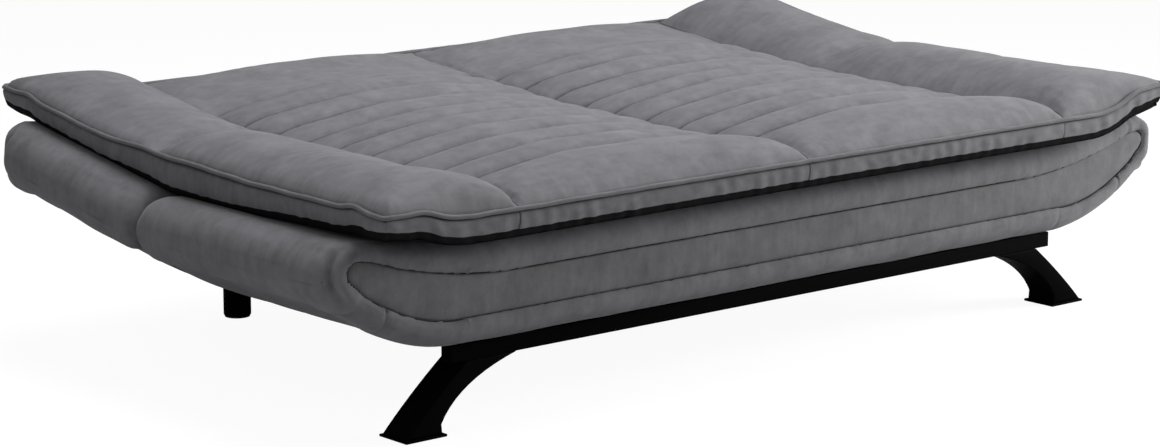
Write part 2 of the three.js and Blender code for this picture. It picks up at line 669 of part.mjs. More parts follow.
// The back's plate: an arm on the end board and a toothed sector round the pivot. The first notch
// is open on one side, where the pawl is let go past the last click.
function backHingePlate() {
  const firstNotch = CONTACT_ANGLE - BACK_TILT - (NOTCH_COUNT - 1) * NOTCH_PITCH;
  const root = SECTOR_RADIUS - TOOTH_DEPTH;
  const outline = arc(HUB_RADIUS, HUB_START_ANGLE, firstNotch - NOTCH_WIDTH_ANGLE / 2);
  for (let i = 0; i < NOTCH_COUNT; i += 1) {
    const notch = firstNotch + i * NOTCH_PITCH;
    if (i > 0) outline.push(polar(SECTOR_RADIUS, notch - NOTCH_WIDTH_ANGLE / 2));
    outline.push(polar(root, notch - NOTCH_WIDTH_ANGLE / 4));
    outline.push(polar(root, notch + NOTCH_WIDTH_ANGLE / 4));
    outline.push(polar(SECTOR_RADIUS, notch + NOTCH_WIDTH_ANGLE / 2));
  }
  const sectorEnd = firstNotch + (NOTCH_COUNT - 1) * NOTCH_PITCH + SECTOR_MARGIN_ANGLE;
  outline.push(polar(SECTOR_RADIUS, sectorEnd), ...arc(HUB_RADIUS, sectorEnd, HUB_END_ANGLE));
  outline.push(new THREE.Vector2(FOOT_PLATE_START, -FOOT_PLATE_BOTTOM));
  outline.push(new THREE.Vector2(FOOT_PLATE_END, -FOOT_PLATE_BOTTOM));
  outline.push(new THREE.Vector2(FOOT_PLATE_END, -FOOT_PLATE_TOP));
  return withBore(outline, BACK_PLATE_X, PLATE_THICKNESS, BOLT_RADIUS + GAP);
}

function withBore(outline, x, thickness, radius) {
  const shape = new THREE.Shape(outline);
  shape.holes.push(new THREE.Path(roundHole(radius, 0, 0)));
  return plate(shape, x, thickness);
}

function roundHole(radius, y, z) {
  const hole = Array.from({ length: ROUND_STEPS }, (_, i) => polar(radius, (-360 * i) / ROUND_STEPS));
  return hole.map((point) => point.add(new THREE.Vector2(y, z)));
}

// Where the pawl's tip and pivot lie, from the fold axis, with the tip clear of the teeth.
function pawlPlaces() {
  const tip = polar(SECTOR_RADIUS + PAWL_PARK_GAP, CONTACT_ANGLE);
  const along = polar(1, CONTACT_ANGLE + 90);
  const inward = polar(1, CONTACT_ANGLE + 180);
  const pivot = tip.clone().addScaledVector(along, -PAWL_LENGTH).addScaledVector(inward, -PAWL_OFFSET);
  return { pivot, along, inward };
}

// Places a point that is given along and across the pawl.
function onPawl(along, across) {
  const places = pawlPlaces();
  return places.pivot.clone().addScaledVector(places.along, along).addScaledVector(places.inward, across);
}

// The seat's plate: a foot on the end board, a shoulder for the pawl and the pivot's eye.
function seatHingePlate() {
  const outline = arc(HUB_RADIUS, SEAT_HUB_START_ANGLE, SEAT_HUB_END_ANGLE);
  outline.push(onPawl(0, PAWL_HUB_RADIUS * 2));
  outline.push(new THREE.Vector2(-SHOULDER_DEPTH, -SHOULDER_DROP));
  outline.push(new THREE.Vector2(-FOOT_PLATE_END, -FOOT_PLATE_TOP));
  outline.push(new THREE.Vector2(-FOOT_PLATE_END, -FOOT_PLATE_BOTTOM));
  outline.push(new THREE.Vector2(-FOOT_PLATE_START, -FOOT_PLATE_BOTTOM));
  const shape = new THREE.Shape(outline);
  const { pivot } = pawlPlaces();
  shape.holes.push(new THREE.Path(roundHole(BOLT_RADIUS + GAP, 0, 0)));
  shape.holes.push(new THREE.Path(roundHole(PIN_RADIUS + GAP, pivot.x, pivot.y)));
  const lugBack = -PAWL_WIDTH / 2 - SPRING_DROP - SPRING_THICKNESS - GAP;
  const lug = [
    onPawl(-LUG_SIZE / 2, lugBack),
    onPawl(-LUG_SIZE / 2, lugBack - LUG_SIZE),
    onPawl(LUG_SIZE / 2, lugBack - LUG_SIZE),
    onPawl(LUG_SIZE / 2, lugBack),
  ];
  const lugX = BACK_PLATE_X + GAP;
  const lugPiece = plate(new THREE.Shape(lug), lugX, SEAT_PLATE_X + PLATE_THICKNESS / 2 - lugX);
  return join([plate(shape, SEAT_PLATE_X, PLATE_THICKNESS), lugPiece]);
}

// The pawl: an arm with an eye at one end and a wedge tooth that faces the sector.
function pawl() {
  const half = PAWL_WIDTH / 2;
  const end = PAWL_LENGTH + PAWL_TOOTH_BASE;
  const eye = Array.from({ length: ROUND_STEPS / 2 + 1 }, (_, i) => {
    const point = polar(PAWL_HUB_RADIUS, 90 + (360 * i) / ROUND_STEPS);
    return onPawl(point.x, point.y);
  });
  const arm = [
    [PAWL_HUB_RADIUS, -half],
    [end, -half],
    [end, half],
    [PAWL_LENGTH + PAWL_TOOTH_BASE / 2, half],
    [PAWL_LENGTH + PAWL_TOOTH_TIP / 2, PAWL_OFFSET],
    [PAWL_LENGTH - PAWL_TOOTH_TIP / 2, PAWL_OFFSET],
    [PAWL_LENGTH - PAWL_TOOTH_BASE / 2, half],
    [PAWL_HUB_RADIUS, half],
  ].map(([along, across]) => onPawl(along, across));
  const shape = new THREE.Shape([...eye, ...arm]);
  const { pivot } = pawlPlaces();
  shape.holes.push(new THREE.Path(roundHole(PIN_RADIUS + GAP, pivot.x, pivot.y)));
  return plate(shape, BACK_PLATE_X, PLATE_THICKNESS);
}

// The leaf spring: a bent strip from the lug on the seat's plate to the pawl's back.
function pawlSpring() {
  const back = -PAWL_WIDTH / 2 - GAP;
  const low = back - SPRING_DROP;
  const knee = PAWL_LENGTH * SPRING_KNEE_SHARE;
  const reach = PAWL_LENGTH * SPRING_REACH_SHARE;
  const strip = [
    [-LUG_SIZE / 2, low],
    [-LUG_SIZE / 2, low - SPRING_THICKNESS],
    [knee, low - SPRING_THICKNESS],
    [reach, back - SPRING_THICKNESS],
    [reach, back],
    [knee, low],
  ].map(([along, across]) => onPawl(along, across));
  return plate(new THREE.Shape(strip), BACK_PLATE_X + (PLATE_THICKNESS - SPRING_WIDTH) / 2, SPRING_WIDTH);
}

function pivotNut() {
  const outline = Array.from({ length: HEX_SIDES }, (_, i) => polar(NUT_RADIUS, (360 * i) / HEX_SIDES));
  return withBore(outline, NUT_X, NUT_HEIGHT, BOLT_RADIUS + GAP);
}

// The hinge pieces that stay with the seat, and the pawls, placed from the fold axis.
function hinges() {
  const group = new THREE.Group();
  const { pivot } = pawlPlaces();
  const bolt = () => headedPin(BOLT_RADIUS, BOLT_HEAD_RADIUS, [NUT_X - GAP, BOLT_HEAD_X], BOLT_HEAD_HEIGHT);
  const pin = () => {
    const shank = headedPin(PIN_RADIUS, PIN_HEAD_RADIUS, [BACK_PLATE_X - GAP, BOLT_HEAD_X], PIN_HEAD_HEIGHT);
    return shank.translate(0, pivot.x, pivot.y);
  };
  group.add(...bothSides("seat_hinge_plate", seatHingePlate, "zincSteel"));
  group.add(...bothSides("pivot_bolt", bolt, "zincSteel"));
  group.add(...bothSides("pivot_nut", pivotNut, "zincSteel"));
  group.add(...bothSides("pawl", pawl, "zincSteel"));
  group.add(...bothSides("pawl_pin", pin, "zincSteel"));
  group.add(...bothSides("pawl_spring", pawlSpring, "zincSteel"));
  group.position.set(0, FOLD_Y, AXIS_Z);
  return group;
}

// A front leg: a blade that sweeps outwards from under the front rail to its foot.
function frontLeg() {
  const low = FOOT_THICKNESS + GAP;
  const place = ([x, z]) => [
    THREE.MathUtils.lerp(LEG_INNER_X, LEG_OUTER_X, x),
    THREE.MathUtils.lerp(low, RAIL_BOTTOM - GAP, z),
  ];
  const shape = new THREE.Shape();
  shape.moveTo(...place([LEG_TOP_SHARE, 1]));
  shape.quadraticCurveTo(...place(LEG_OUTER_BEND_SHARES), ...place([1, 0]));
  shape.lineTo(...place(LEG_HEEL_SHARES));
  shape.lineTo(...place(LEG_ANKLE_SHARES));
  shape.quadraticCurveTo(...place(LEG_INNER_BEND_SHARES), ...place([0, 1]));
  return slab(shape, RAIL_FRONT_Y, LEG_WIDTH);
}

function footPad() {
  const outer = LEG_OUTER_X + FOOT_FLANGE;
  const y = grown([RAIL_FRONT_Y, RAIL_FRONT_Y + LEG_WIDTH], FOOT_FLANGE);
  return box([outer - FOOT_LENGTH, outer], y, [0, FOOT_THICKNESS]);
}

// The steel base in the room's frame: rails, front legs, and round rear legs on glides.
function base() {
  const group = new THREE.Group();
  const z = [RAIL_BOTTOM, RAIL_BOTTOM + RAIL_HEIGHT];
  const rearY = around(FOLD_Y - REAR_RAIL_SETBACK, RAIL_WIDTH);
  const frontY = [RAIL_FRONT_Y, RAIL_FRONT_Y + RAIL_WIDTH];
  const sideX = [RAIL_END_X - SIDE_RAIL_INSET - RAIL_WIDTH, RAIL_END_X - SIDE_RAIL_INSET];
  const sideY = [frontY[1] + GAP, rearY[0] - GAP];
  group.add(piece("front_rail", box([-RAIL_END_X, RAIL_END_X], frontY, z), "blackSteel"));
  group.add(piece("rear_rail", box([-sideX[1], sideX[1]], rearY, z), "blackSteel"));
  group.add(...bothSides("side_rail", () => box(sideX, sideY, z), "blackSteel"));
  group.add(...bothSides("front_leg", frontLeg, "blackSteel"));
  group.add(...bothSides("foot_pad", footPad, "blackSteel"));
  const rearLegY = FOLD_Y - REAR_RAIL_SETBACK;
  const legZ = [GLIDE_HEIGHT + GAP, RAIL_BOTTOM - GAP];
  const place = (geometry) => geometry.translate(REAR_LEG_SPREAD / 2, rearLegY, 0);
  group.add(...bothSides("rear_leg", () => place(upright(REAR_LEG_RADIUS, legZ)), "blackSteel"));
  const glide = () => place(upright(REAR_LEG_RADIUS - GLIDE_INSET, [0, GLIDE_HEIGHT]));
  group.add(...bothSides("rear_leg_glide", glide, "plastic"));
  return group;
}

// The posts that the back stands on as a bed: upright at rest, and cut to the back's slope.
function posts(back) {
  const group = new THREE.Group();
  const bracketBottom = COVER_BOTTOM_Z - GAP - BRACKET_THICKNESS;
  const head = back.localToWorld(new THREE.Vector3(POST_SPREAD / 2, POST_SETBACK, bracketBottom));
  const post = () => {
    const shaft = upright(POST_RADIUS, [GLIDE_HEIGHT + GAP, head.z + OVERRUN]).translate(head.x, head.y, 0);
    const above = box(
      around(head.x, POST_RADIUS * 4),
      around(POST_SETBACK, POST_RADIUS * 8),
      [bracketBottom - GAP, bracketBottom + OVERRUN * 2],
    );
    return cut(shaft, [above.applyMatrix4(back.matrixWorld)]);
  };
  const glide = () => upright(POST_RADIUS - GLIDE_INSET, [0, GLIDE_HEIGHT]).translate(head.x, head.y, 0);
  group.add(...bothSides("post", post, "blackSteel"));
  group.add(...bothSides("post_glide", glide, "plastic"));
  return group;
}

const sofaBed = new THREE.Group();
const back = backHalf();
sofaBed.add(base(), seatHalf(), hinges(), back, posts(back));

export default sofaBed;
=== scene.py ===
"""A click clack sofa bed laid flat as a bed, dressed around its construction model.

Lengths are in metres, in the construction's frame: +X along the bed, +Y to the rear and +Z up.
Each half has a place of its own as well: x along the bed, s away from the fold (less than zero
towards the seat's front, more than zero towards the back's far edge) and h up from the block's top.
"""

import json
import math

import bmesh
import bpy
import numpy as np
from bpy.props import FloatProperty, FloatVectorProperty, IntProperty, PointerProperty
from mathutils import Matrix, Vector

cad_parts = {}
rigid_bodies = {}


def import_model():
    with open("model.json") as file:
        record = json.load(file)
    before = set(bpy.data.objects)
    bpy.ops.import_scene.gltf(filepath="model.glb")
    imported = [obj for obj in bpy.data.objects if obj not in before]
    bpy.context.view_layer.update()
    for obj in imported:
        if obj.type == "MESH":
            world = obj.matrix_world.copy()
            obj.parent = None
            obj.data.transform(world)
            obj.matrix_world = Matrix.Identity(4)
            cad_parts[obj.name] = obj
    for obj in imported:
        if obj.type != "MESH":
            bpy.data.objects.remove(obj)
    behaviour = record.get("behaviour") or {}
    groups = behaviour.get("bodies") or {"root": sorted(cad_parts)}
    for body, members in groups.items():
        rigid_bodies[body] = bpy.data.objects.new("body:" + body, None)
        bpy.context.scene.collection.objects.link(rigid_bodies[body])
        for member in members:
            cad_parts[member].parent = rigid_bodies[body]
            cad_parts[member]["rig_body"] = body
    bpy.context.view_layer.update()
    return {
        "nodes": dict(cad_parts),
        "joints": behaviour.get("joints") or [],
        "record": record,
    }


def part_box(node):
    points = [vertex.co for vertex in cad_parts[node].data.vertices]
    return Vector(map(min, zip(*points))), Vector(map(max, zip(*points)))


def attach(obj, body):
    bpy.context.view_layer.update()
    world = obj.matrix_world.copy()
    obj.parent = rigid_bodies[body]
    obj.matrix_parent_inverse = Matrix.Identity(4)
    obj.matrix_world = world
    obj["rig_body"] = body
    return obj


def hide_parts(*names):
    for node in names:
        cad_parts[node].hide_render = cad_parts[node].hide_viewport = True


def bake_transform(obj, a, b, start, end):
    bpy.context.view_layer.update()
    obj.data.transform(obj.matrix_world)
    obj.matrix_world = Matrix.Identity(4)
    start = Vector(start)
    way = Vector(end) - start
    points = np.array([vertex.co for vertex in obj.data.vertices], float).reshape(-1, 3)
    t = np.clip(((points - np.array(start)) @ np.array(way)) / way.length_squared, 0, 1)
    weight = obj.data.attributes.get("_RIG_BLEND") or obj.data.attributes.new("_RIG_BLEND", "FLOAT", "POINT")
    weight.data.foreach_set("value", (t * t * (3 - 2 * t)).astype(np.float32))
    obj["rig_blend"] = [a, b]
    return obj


bl_info = {
    "name": "Click clack sofa bed",
    "version": (1, 0, 0),
    "blender": (4, 5, 0),
    "location": "3D View > Sidebar > Sofa bed",
    "description": "Upholsters and finishes a click clack sofa bed around its construction model",
    "category": "Object",
}

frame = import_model()

# Places taken from the construction model
FOLD_JOINT = next(joint for joint in frame["joints"] if joint["name"] == "back_fold")
FOLD_Y = FOLD_JOINT["pos_m"][1]
AXIS_Z = FOLD_JOINT["pos_m"][2]
BLOCK_LOW, BLOCK_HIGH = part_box("seat_block")
PANEL_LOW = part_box("seat_front_panel")[0]
TOPPER_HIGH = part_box("seat_topper")[1]
HALF_LENGTH = BLOCK_HIGH.x
SEAT_DEPTH = FOLD_Y - PANEL_LOW.y
BACK_TILT = math.radians(9)
AXIS_DROP = 0.013
BLOCK_TOP = AXIS_DROP
BLOCK_BOTTOM = BLOCK_LOW.z - AXIS_Z
HALF_FOLD = math.radians(38.5)
FOLD_ZONE = 0.08
SIDES = {"left": -1, "right": 1}


def smooth(value):
    """Goes from 0 to 1 with flat ends as value does; works on numbers and on arrays."""
    t = np.clip(value, 0, 1)
    return t * t * (3 - 2 * t)


def mix(a, b, share):
    return a + (b - a) * share


def bump_at(value, centre, width):
    """A soft hump, 1 at the centre."""
    return np.exp(-(((value - centre) / width) ** 2))


def in_room(x, s, h, tilt):
    """Places of one half, h from the fold axis, turned about that axis by tilt."""
    y = FOLD_Y + s * np.cos(tilt) - h * np.sin(tilt)
    z = AXIS_Z + s * np.sin(tilt) + h * np.cos(tilt)
    return np.stack([x, y, z], axis=-1)


def pad_tilt(s):
    """The topper has no hinge: it bends through the back's tilt over a zone round the fold."""
    return BACK_TILT * smooth((s + FOLD_ZONE) / (2 * FOLD_ZONE))


def waves(u, v, seed, octaves=3):
    """Smooth unevenness from -1 to 1 that is the same on every run: sums of crossed sines."""
    random = np.random.default_rng(seed)
    total = np.zeros_like(np.asarray(u, float) + np.asarray(v, float))
    for octave in range(octaves):
        for _ in range(4):
            turn, shift = random.uniform(0, math.tau, 2)
            pitch = (2**octave) * random.uniform(0.7, 1.3)
            run = (u * math.cos(turn) + v * math.sin(turn)) * pitch
            total += np.sin(run * math.tau + shift) / 2**octave
    return total / (4 * sum(0.5**octave for octave in range(octaves))) * 1.6


class BlockSizes(bpy.types.PropertyGroup):
    """The two padded halves."""

    depth: FloatProperty(
        name="Back depth",
        description="From the fold to the back's outer face",
        default=0.466,
        unit="LENGTH",
    )
    end_lift: FloatProperty(
        name="End lift", description="How far the ends rise", default=0.018, unit="LENGTH"
    )
    nose_radius: FloatProperty(
        name="Nose radius", description="Round end seen from the front", default=0.06, unit="LENGTH"
    )
    top_rise: FloatProperty(
        name="Top rise", description="Length over which the top lifts", default=0.3, unit="LENGTH"
    )
    bottom_rise: FloatProperty(
        name="Bottom rise",
        description="Length over which the underside lifts",
        default=0.235,
        unit="LENGTH",
    )
    edge_radius: FloatProperty(
        name="Edge radius", description="Rounding of the long edges", default=0.05, unit="LENGTH"
    )
    nose_edge_radius: FloatProperty(
        name="Nose edge radius", description="Rounding at the ends", default=0.04, unit="LENGTH"
    )
    outer_corner: FloatProperty(
        name="Outer corner", description="Corner radius seen from above", default=0.05, unit="LENGTH"
    )
    fold_corner: FloatProperty(
        name="Fold corner", description="Corner radius at the fold", default=0.03, unit="LENGTH"
    )


class TopperSizes(bpy.types.PropertyGroup):
    """The quilted topper."""

    half_length: FloatProperty(
        name="Half length", description="From the middle to an end", default=TOPPER_HIGH.x, unit="LENGTH"
    )
    front: FloatProperty(
        name="Front edge", description="From the fold to the front edge", default=0.672, unit="LENGTH"
    )
    rear: FloatProperty(
        name="Rear edge", description="From the fold to the rear edge", default=0.551, unit="LENGTH"
    )
    seam_x: FloatProperty(
        name="End seams", description="From the middle to the end cross seams", default=0.69, unit="LENGTH"
    )
    rib_pitch: FloatProperty(
        name="Rib pitch", description="From one rib's seam to the next", default=0.0945, unit="LENGTH"
    )
    seat_ribs: IntProperty(name="Seat ribs", description="Ribs on the seat's side of the fold", default=5)
    back_ribs: IntProperty(name="Back ribs", description="Ribs on the back's side of the fold", default=3)
    edge_draw: FloatProperty(
        name="Edge draw",
        description="How far the sides pull in between corners",
        default=0.009,
        unit="LENGTH",
    )
    piping_radius: FloatProperty(
        name="Piping radius", description="The bead round the edge", default=0.0042, unit="LENGTH"
    )


class FinishColours(bpy.types.PropertyGroup):
    """Base colours of the finishes."""

    cover: FloatVectorProperty(
        name="Cover", description="Microfibre cover", subtype="COLOR", default=(0.138, 0.1368, 0.1435)
    )
    panel: FloatVectorProperty(
        name="Panel",
        description="Microfibre of the long inserts",
        subtype="COLOR",
        default=(0.122, 0.1208, 0.124),
    )
    liner: FloatVectorProperty(
        name="Liner", description="Black dust cover", subtype="COLOR", default=(0.008, 0.008, 0.008)
    )
    steel: FloatVectorProperty(
        name="Steel", description="Black powder coat", subtype="COLOR", default=(0.003, 0.003, 0.003)
    )
    zinc: FloatVectorProperty(
        name="Zinc", description="Plated hinge steel", subtype="COLOR", default=(0.5, 0.5, 0.49)
    )
    wood: FloatVectorProperty(
        name="Wood", description="Pine frame", subtype="COLOR", default=(0.43, 0.27, 0.12)
    )
    plastic: FloatVectorProperty(
        name="Plastic", description="Glides", subtype="COLOR", default=(0.01, 0.01, 0.011)
    )


class Value:
    """A socket in an expression: each operation adds its Math node."""

    def __init__(self, finish, socket):
        self.finish = finish
        self.socket = socket

    def math(self, operation, *others, clamp=False):
        kind = {"operation": operation, "use_clamp": clamp}
        node = self.finish.node("ShaderNodeMath", kind, dict(enumerate([self, *others])))
        return Value(self.finish, node.outputs[0])

    def __add__(self, other):
        return self.math("ADD", other)

    def __radd__(self, other):
        return self.math("ADD", other)

    def __sub__(self, other):
        return self.math("SUBTRACT", other)

    def __rsub__(self, other):
        return (self * -1) + other

    def __mul__(self, other):
        return self.math("MULTIPLY", other)

    def __rmul__(self, other):
        return self.math("MULTIPLY", other)

    def __truediv__(self, other):
        return self.math("DIVIDE", other)

    def __abs__(self):
        return self.math("ABSOLUTE")

    def least(self, other):
        return self.math("MINIMUM", other)

    def most(self, other):
        return self.math("MAXIMUM", other)

    def fraction(self):
        return self.math("FRACT")

    def clamped(self):
        return self.math("ADD", 0.0, clamp=True)


class Finish:
    """One procedural material, built node by node."""

    def __init__(self, name, **constants):
        self.material = bpy.data.materials.new(name)
        self.material.use_nodes = True
        self.tree = self.material.node_tree
        self.tree.nodes.clear()
        self.output = self.node("ShaderNodeOutputMaterial")
        self.shader = self.node("ShaderNodeBsdfPrincipled")
        self.link(self.shader.outputs[0], self.output.inputs["Surface"])
        for socket, value in constants.items():
            self.shader.inputs[socket.replace("_", " ")].default_value = value

    def node(self, kind, settings=None, inputs=None):
        """Adds a node: its settings first, then a value or a link for each socket named."""
        node = self.tree.nodes.new(kind)
        for setting, value in (settings or {}).items():
            if setting == "stops":
                self.set_stops(node.color_ramp, value)
            else:
                setattr(node, setting, value)
        for socket, value in (inputs or {}).items():
            if isinstance(value, Value):
                self.link(value.socket, node.inputs[socket])
            elif isinstance(value, bpy.types.NodeSocket):
                self.link(value, node.inputs[socket])
            else:
                node.inputs[socket].default_value = value
        return node

    @staticmethod
    def set_stops(ramp, stops):
        while len(ramp.elements) > 1:
            ramp.elements.remove(ramp.elements[-1])
        for place, grey in stops:
            element = ramp.elements[0] if place == stops[0][0] else ramp.elements.new(place)
            element.position = place
            element.color = (grey, grey, grey, 1)

    def link(self, source, target):
        self.tree.links.new(source, target)

    def value(self, node, output=0):
        return Value(self, node.outputs[output])

    def noise(self, vector, scale, detail=3.0, roughness=0.55):
        inputs = {"Vector": vector, "Scale": scale, "Detail": detail, "Roughness": roughness}
        return self.value(self.node("ShaderNodeTexNoise", None, inputs))

    def stretched(self, vector, scale):
        return self.node("ShaderNodeMapping", None, {"Vector": vector, "Scale": scale}).outputs[0]

    def shaded(self, colour, brightness):
        """The colour, made lighter or darker by a value round 1."""
        grey = self.node("ShaderNodeCombineColor", None, {0: brightness, 1: brightness, 2: brightness})
        kind = {"data_type": "RGBA", "blend_type": "MULTIPLY"}
        inputs = {0: 1.0, 6: (*colour, 1.0), 7: grey.outputs[0]}
        return self.node("ShaderNodeMix", kind, inputs).outputs[2]

    def set(self, **sockets):
        for socket, value in sockets.items():
            target = self.shader.inputs[socket.replace("_", " ")]
            self.link(value.socket if isinstance(value, Value) else value, target)

    def bump(self, height, distance, strength=1.0):
        inputs = {"Height": height, "Distance": distance, "Strength": strength}
        self.set(Normal=self.node("ShaderNodeBump", None, inputs).outputs[0])


def settings(group):
    return getattr(bpy.context.scene, group)


def panel_span():
    """The middle and half the length of the ribbed panels, along s."""
    sizes = settings("topper_sizes")
    seat, back = sizes.seat_ribs * sizes.rib_pitch, sizes.back_ribs * sizes.rib_pitch
    return (back - seat) / 2, (back + seat) / 2


def topper_end(s):
    """How far places on the topper are from its front or its rear edge."""
    sizes = settings("topper_sizes")
    return np.where(s < 0, sizes.front + s, sizes.rear - s)


CLOTH_BRIGHTNESS = 1.06
# Share of the colour taken away on the topper's seams: painted shade of the grooves.
SEAM_PAINTED_SHADE = 0.75
SEAM_WIDTH = 0.003


def microfibre(name, colour, streaks=0.0, quilted=False, upright=False):
    """A brushed microfibre: soft mottled nap, fine fibres and faint creasing. When quilted, painted shade
    darkens the sewn lines and a line under the piping.
    """
    finish = Finish(name, Roughness=0.86, Sheen_Weight=0.12, Sheen_Roughness=0.45)
    finish.shader.inputs["Specular IOR Level"].default_value = 0.22
    place = finish.node("ShaderNodeTexCoord").outputs["Object" if upright else "UV"]
    nap = finish.noise(place, 13.0, detail=5.0, roughness=0.62)
    strokes = (52.0, 52.0, 13.0) if upright else (28.0, 60.0, 1.0)
    brushed = finish.noise(finish.stretched(place, strokes), 1.0, detail=3.0)
    fibre = finish.noise(place, 900.0, detail=2.0, roughness=0.7)
    creases = finish.noise(place, 46.0, detail=4.0, roughness=0.5)
    mottle = finish.noise(place, 38.0, detail=4.0, roughness=0.7)
    brightness = CLOTH_BRIGHTNESS + (nap - 0.5) * 0.8 + (brushed - 0.5) * 0.5
    brightness = brightness + (mottle - 0.5) * 0.45 + (fibre - 0.5) * 0.3
    height = fibre * 0.12 + creases * 0.9
    if streaks:
        pulled = finish.noise(finish.stretched(place, (95.0, 95.0, 7.0)), 1.0, detail=2.0)
        brightness = brightness + (pulled - 0.5) * streaks
        height = height + pulled * 0.3
    if quilted:
        seam = seam_shade_lines(finish, place)
        # Painted shade: the sewn grooves and the line under the piping are darkened in the colour.
        brightness = brightness * (1 - seam * SEAM_PAINTED_SHADE)
        height = height - seam * 0.9
    finish.set(Base_Color=finish.shaded(colour, brightness))
    finish.bump(height, 0.0013, 0.55)
    return finish.material


def seam_shade_lines(finish, place):
    """1 on the topper's sewn lines and on a thin line just below the piping, 0 away from them, from its flat
    pattern: where painted shade goes.
    """
    sizes = settings("topper_sizes")
    parts = finish.node("ShaderNodeSeparateXYZ", None, {0: place})
    x = abs(finish.value(parts, 0))
    s = finish.value(parts, 1)
    pitch = sizes.rib_pitch
    middle, reach = panel_span()
    to_rib = abs((s / pitch + 100.5).fraction() - 0.5) * pitch
    outside = (abs(s - middle) - reach).most(x - sizes.seam_x).most(0)
    rib = to_rib.most(outside)
    cross = x.least(abs(x - sizes.seam_x))
    past_rim = (x - sizes.half_length).most(s - sizes.rear).most(s * -1 - sizes.front)
    # Painted shadow: a thin dark line on the border just under the piping.
    shadow_below_piping = (1 - abs(past_rim - 0.004) / 0.0035).clamped()
    return (1 - (rib / 2).least(cross) / SEAM_WIDTH).clamped().most(shadow_below_piping)


def woven_liner(name, colour):
    """The dust cover's black non-woven sheet; on the topper it also lines the underside and a band low on
    the border as painted shade.
    """
    finish = Finish(name, Roughness=0.95, Specular_IOR_Level=0.05)
    place = finish.node("ShaderNodeTexCoord").outputs["Object"]
    mottle = finish.noise(place, 60.0, detail=4.0)
    weave = finish.noise(finish.stretched(place, (700.0, 350.0, 1.0)), 1.0, detail=1.0)
    finish.set(Base_Color=finish.shaded(colour, 0.6 + mottle * 0.5 + weave * 0.3))
    finish.bump(weave * 0.5 + mottle, 0.0006, 0.5)
    return finish.material


def powder_coat(name, colour):
    """Satin black powder coat on steel, with a fine orange peel."""
    finish = Finish(name, Specular_IOR_Level=0.008)
    place = finish.node("ShaderNodeTexCoord").outputs["Object"]
    peel = finish.noise(place, 700.0, detail=2.0)
    dust = finish.noise(place, 9.0, detail=5.0, roughness=0.65)
    finish.set(
        Base_Color=finish.shaded(colour, 0.75 + dust * 0.5),
        Roughness=0.4 + dust * 0.14 + peel * 0.05,
    )
    finish.bump(peel, 0.00012, 0.6)
    return finish.material


def plated_steel(name, colour):
    """Zinc-plated sheet steel, drawn and slightly cloudy."""
    finish = Finish(name, Metallic=1.0)
    place = finish.node("ShaderNodeTexCoord").outputs["Object"]
    drawn = finish.noise(finish.stretched(place, (1.0, 40.0, 900.0)), 1.0, detail=2.0)
    cloud = finish.noise(place, 40.0, detail=4.0, roughness=0.6)
    finish.set(
        Base_Color=finish.shaded(colour, 0.78 + cloud * 0.3 + drawn * 0.1),
        Roughness=0.24 + cloud * 0.2 + drawn * 0.08,
    )
    finish.bump(drawn, 0.00008, 0.5)
    return finish.material


def pine(name, colour, along):
    """Planed pine, with its grain along one axis of the bed."""
    finish = Finish(name, Roughness=0.7)
    place = finish.node("ShaderNodeTexCoord").outputs["Object"]
    scale = (1.2, 26.0, 26.0) if along == "x" else (26.0, 1.2, 26.0)
    stretch = finish.stretched(place, scale)
    warp = finish.noise(stretch, 1.0, detail=3.0)
    rings = (warp * 9).fraction()
    band = abs(rings - 0.5) * 2
    pores = finish.noise(finish.stretched(place, tuple(12 * side for side in scale)), 1.0, detail=2.0)
    finish.set(Base_Color=finish.shaded(colour, 0.66 + band * 0.26 + pores * 0.24))
    finish.bump(band * 0.4 + pores, 0.0005, 0.5)
    return finish.material


def moulded_plastic(name, colour):
    """Black moulded plastic with a fine texture."""
    finish = Finish(name)
    place = finish.node("ShaderNodeTexCoord").outputs["Object"]
    grain = finish.noise(place, 1500.0, detail=1.0)
    wear = finish.noise(place, 50.0, detail=4.0)
    finish.set(Base_Color=finish.shaded(colour, 0.8 + wear * 0.4), Roughness=0.5 + wear * 0.2)
    finish.bump(grain, 0.0001, 0.6)
    return finish.material


MAKERS = {
    "topper": lambda colours: microfibre("topper_microfibre", colours.cover, quilted=True),
    "cover": lambda colours: microfibre("cover_microfibre", colours.cover, upright=True),
    "panel": lambda colours: microfibre("panel_microfibre", colours.panel, streaks=0.14, upright=True),
    "piping": lambda colours: microfibre("piping_microfibre", [0.9 * c for c in colours.cover]),
    # The welt's colour, a tenth of the cover's, is painted shade: it stands for the dark groove along the
    # insert's edges.
    "welt": lambda colours: microfibre("welt_painted_shade_microfibre", [0.1 * c for c in colours.cover]),
    "liner": lambda colours: woven_liner("black_liner_and_painted_shade", colours.liner),
    "steel": lambda colours: powder_coat("black_powder_coat", colours.steel),
    "zinc": lambda colours: plated_steel("plated_steel", colours.zinc),
    "long_pine": lambda colours: pine("pine_lengthwise", colours.wood, "x"),
    "cross_pine": lambda colours: pine("pine_crosswise", colours.wood, "y"),
    "plastic": lambda colours: moulded_plastic("black_plastic", colours.plastic),
}
made_finishes = {}


def finish_named(name):
    if name not in made_finishes:
        made_finishes[name] = MAKERS[name](settings("finish_colours"))
    return made_finishes[name]


def add_piece(name, bm, finish, smooth_angle=180.0):
    """Turns a bmesh into a piece, smooth except at edges sharper than smooth_angle."""
    for face in bm.faces:
        face.smooth = True
    limit = math.radians(smooth_angle)
    for edge in bm.edges:
        edge.smooth = edge.calc_face_angle(0) < limit
    mesh = bpy.data.meshes.new(name)
    bm.to_mesh(mesh)
    bm.free()
    mesh.materials.append(finish_named(finish))
    piece = bpy.data.objects.new(name, mesh)
    bpy.context.scene.collection.objects.link(piece)
    return piece


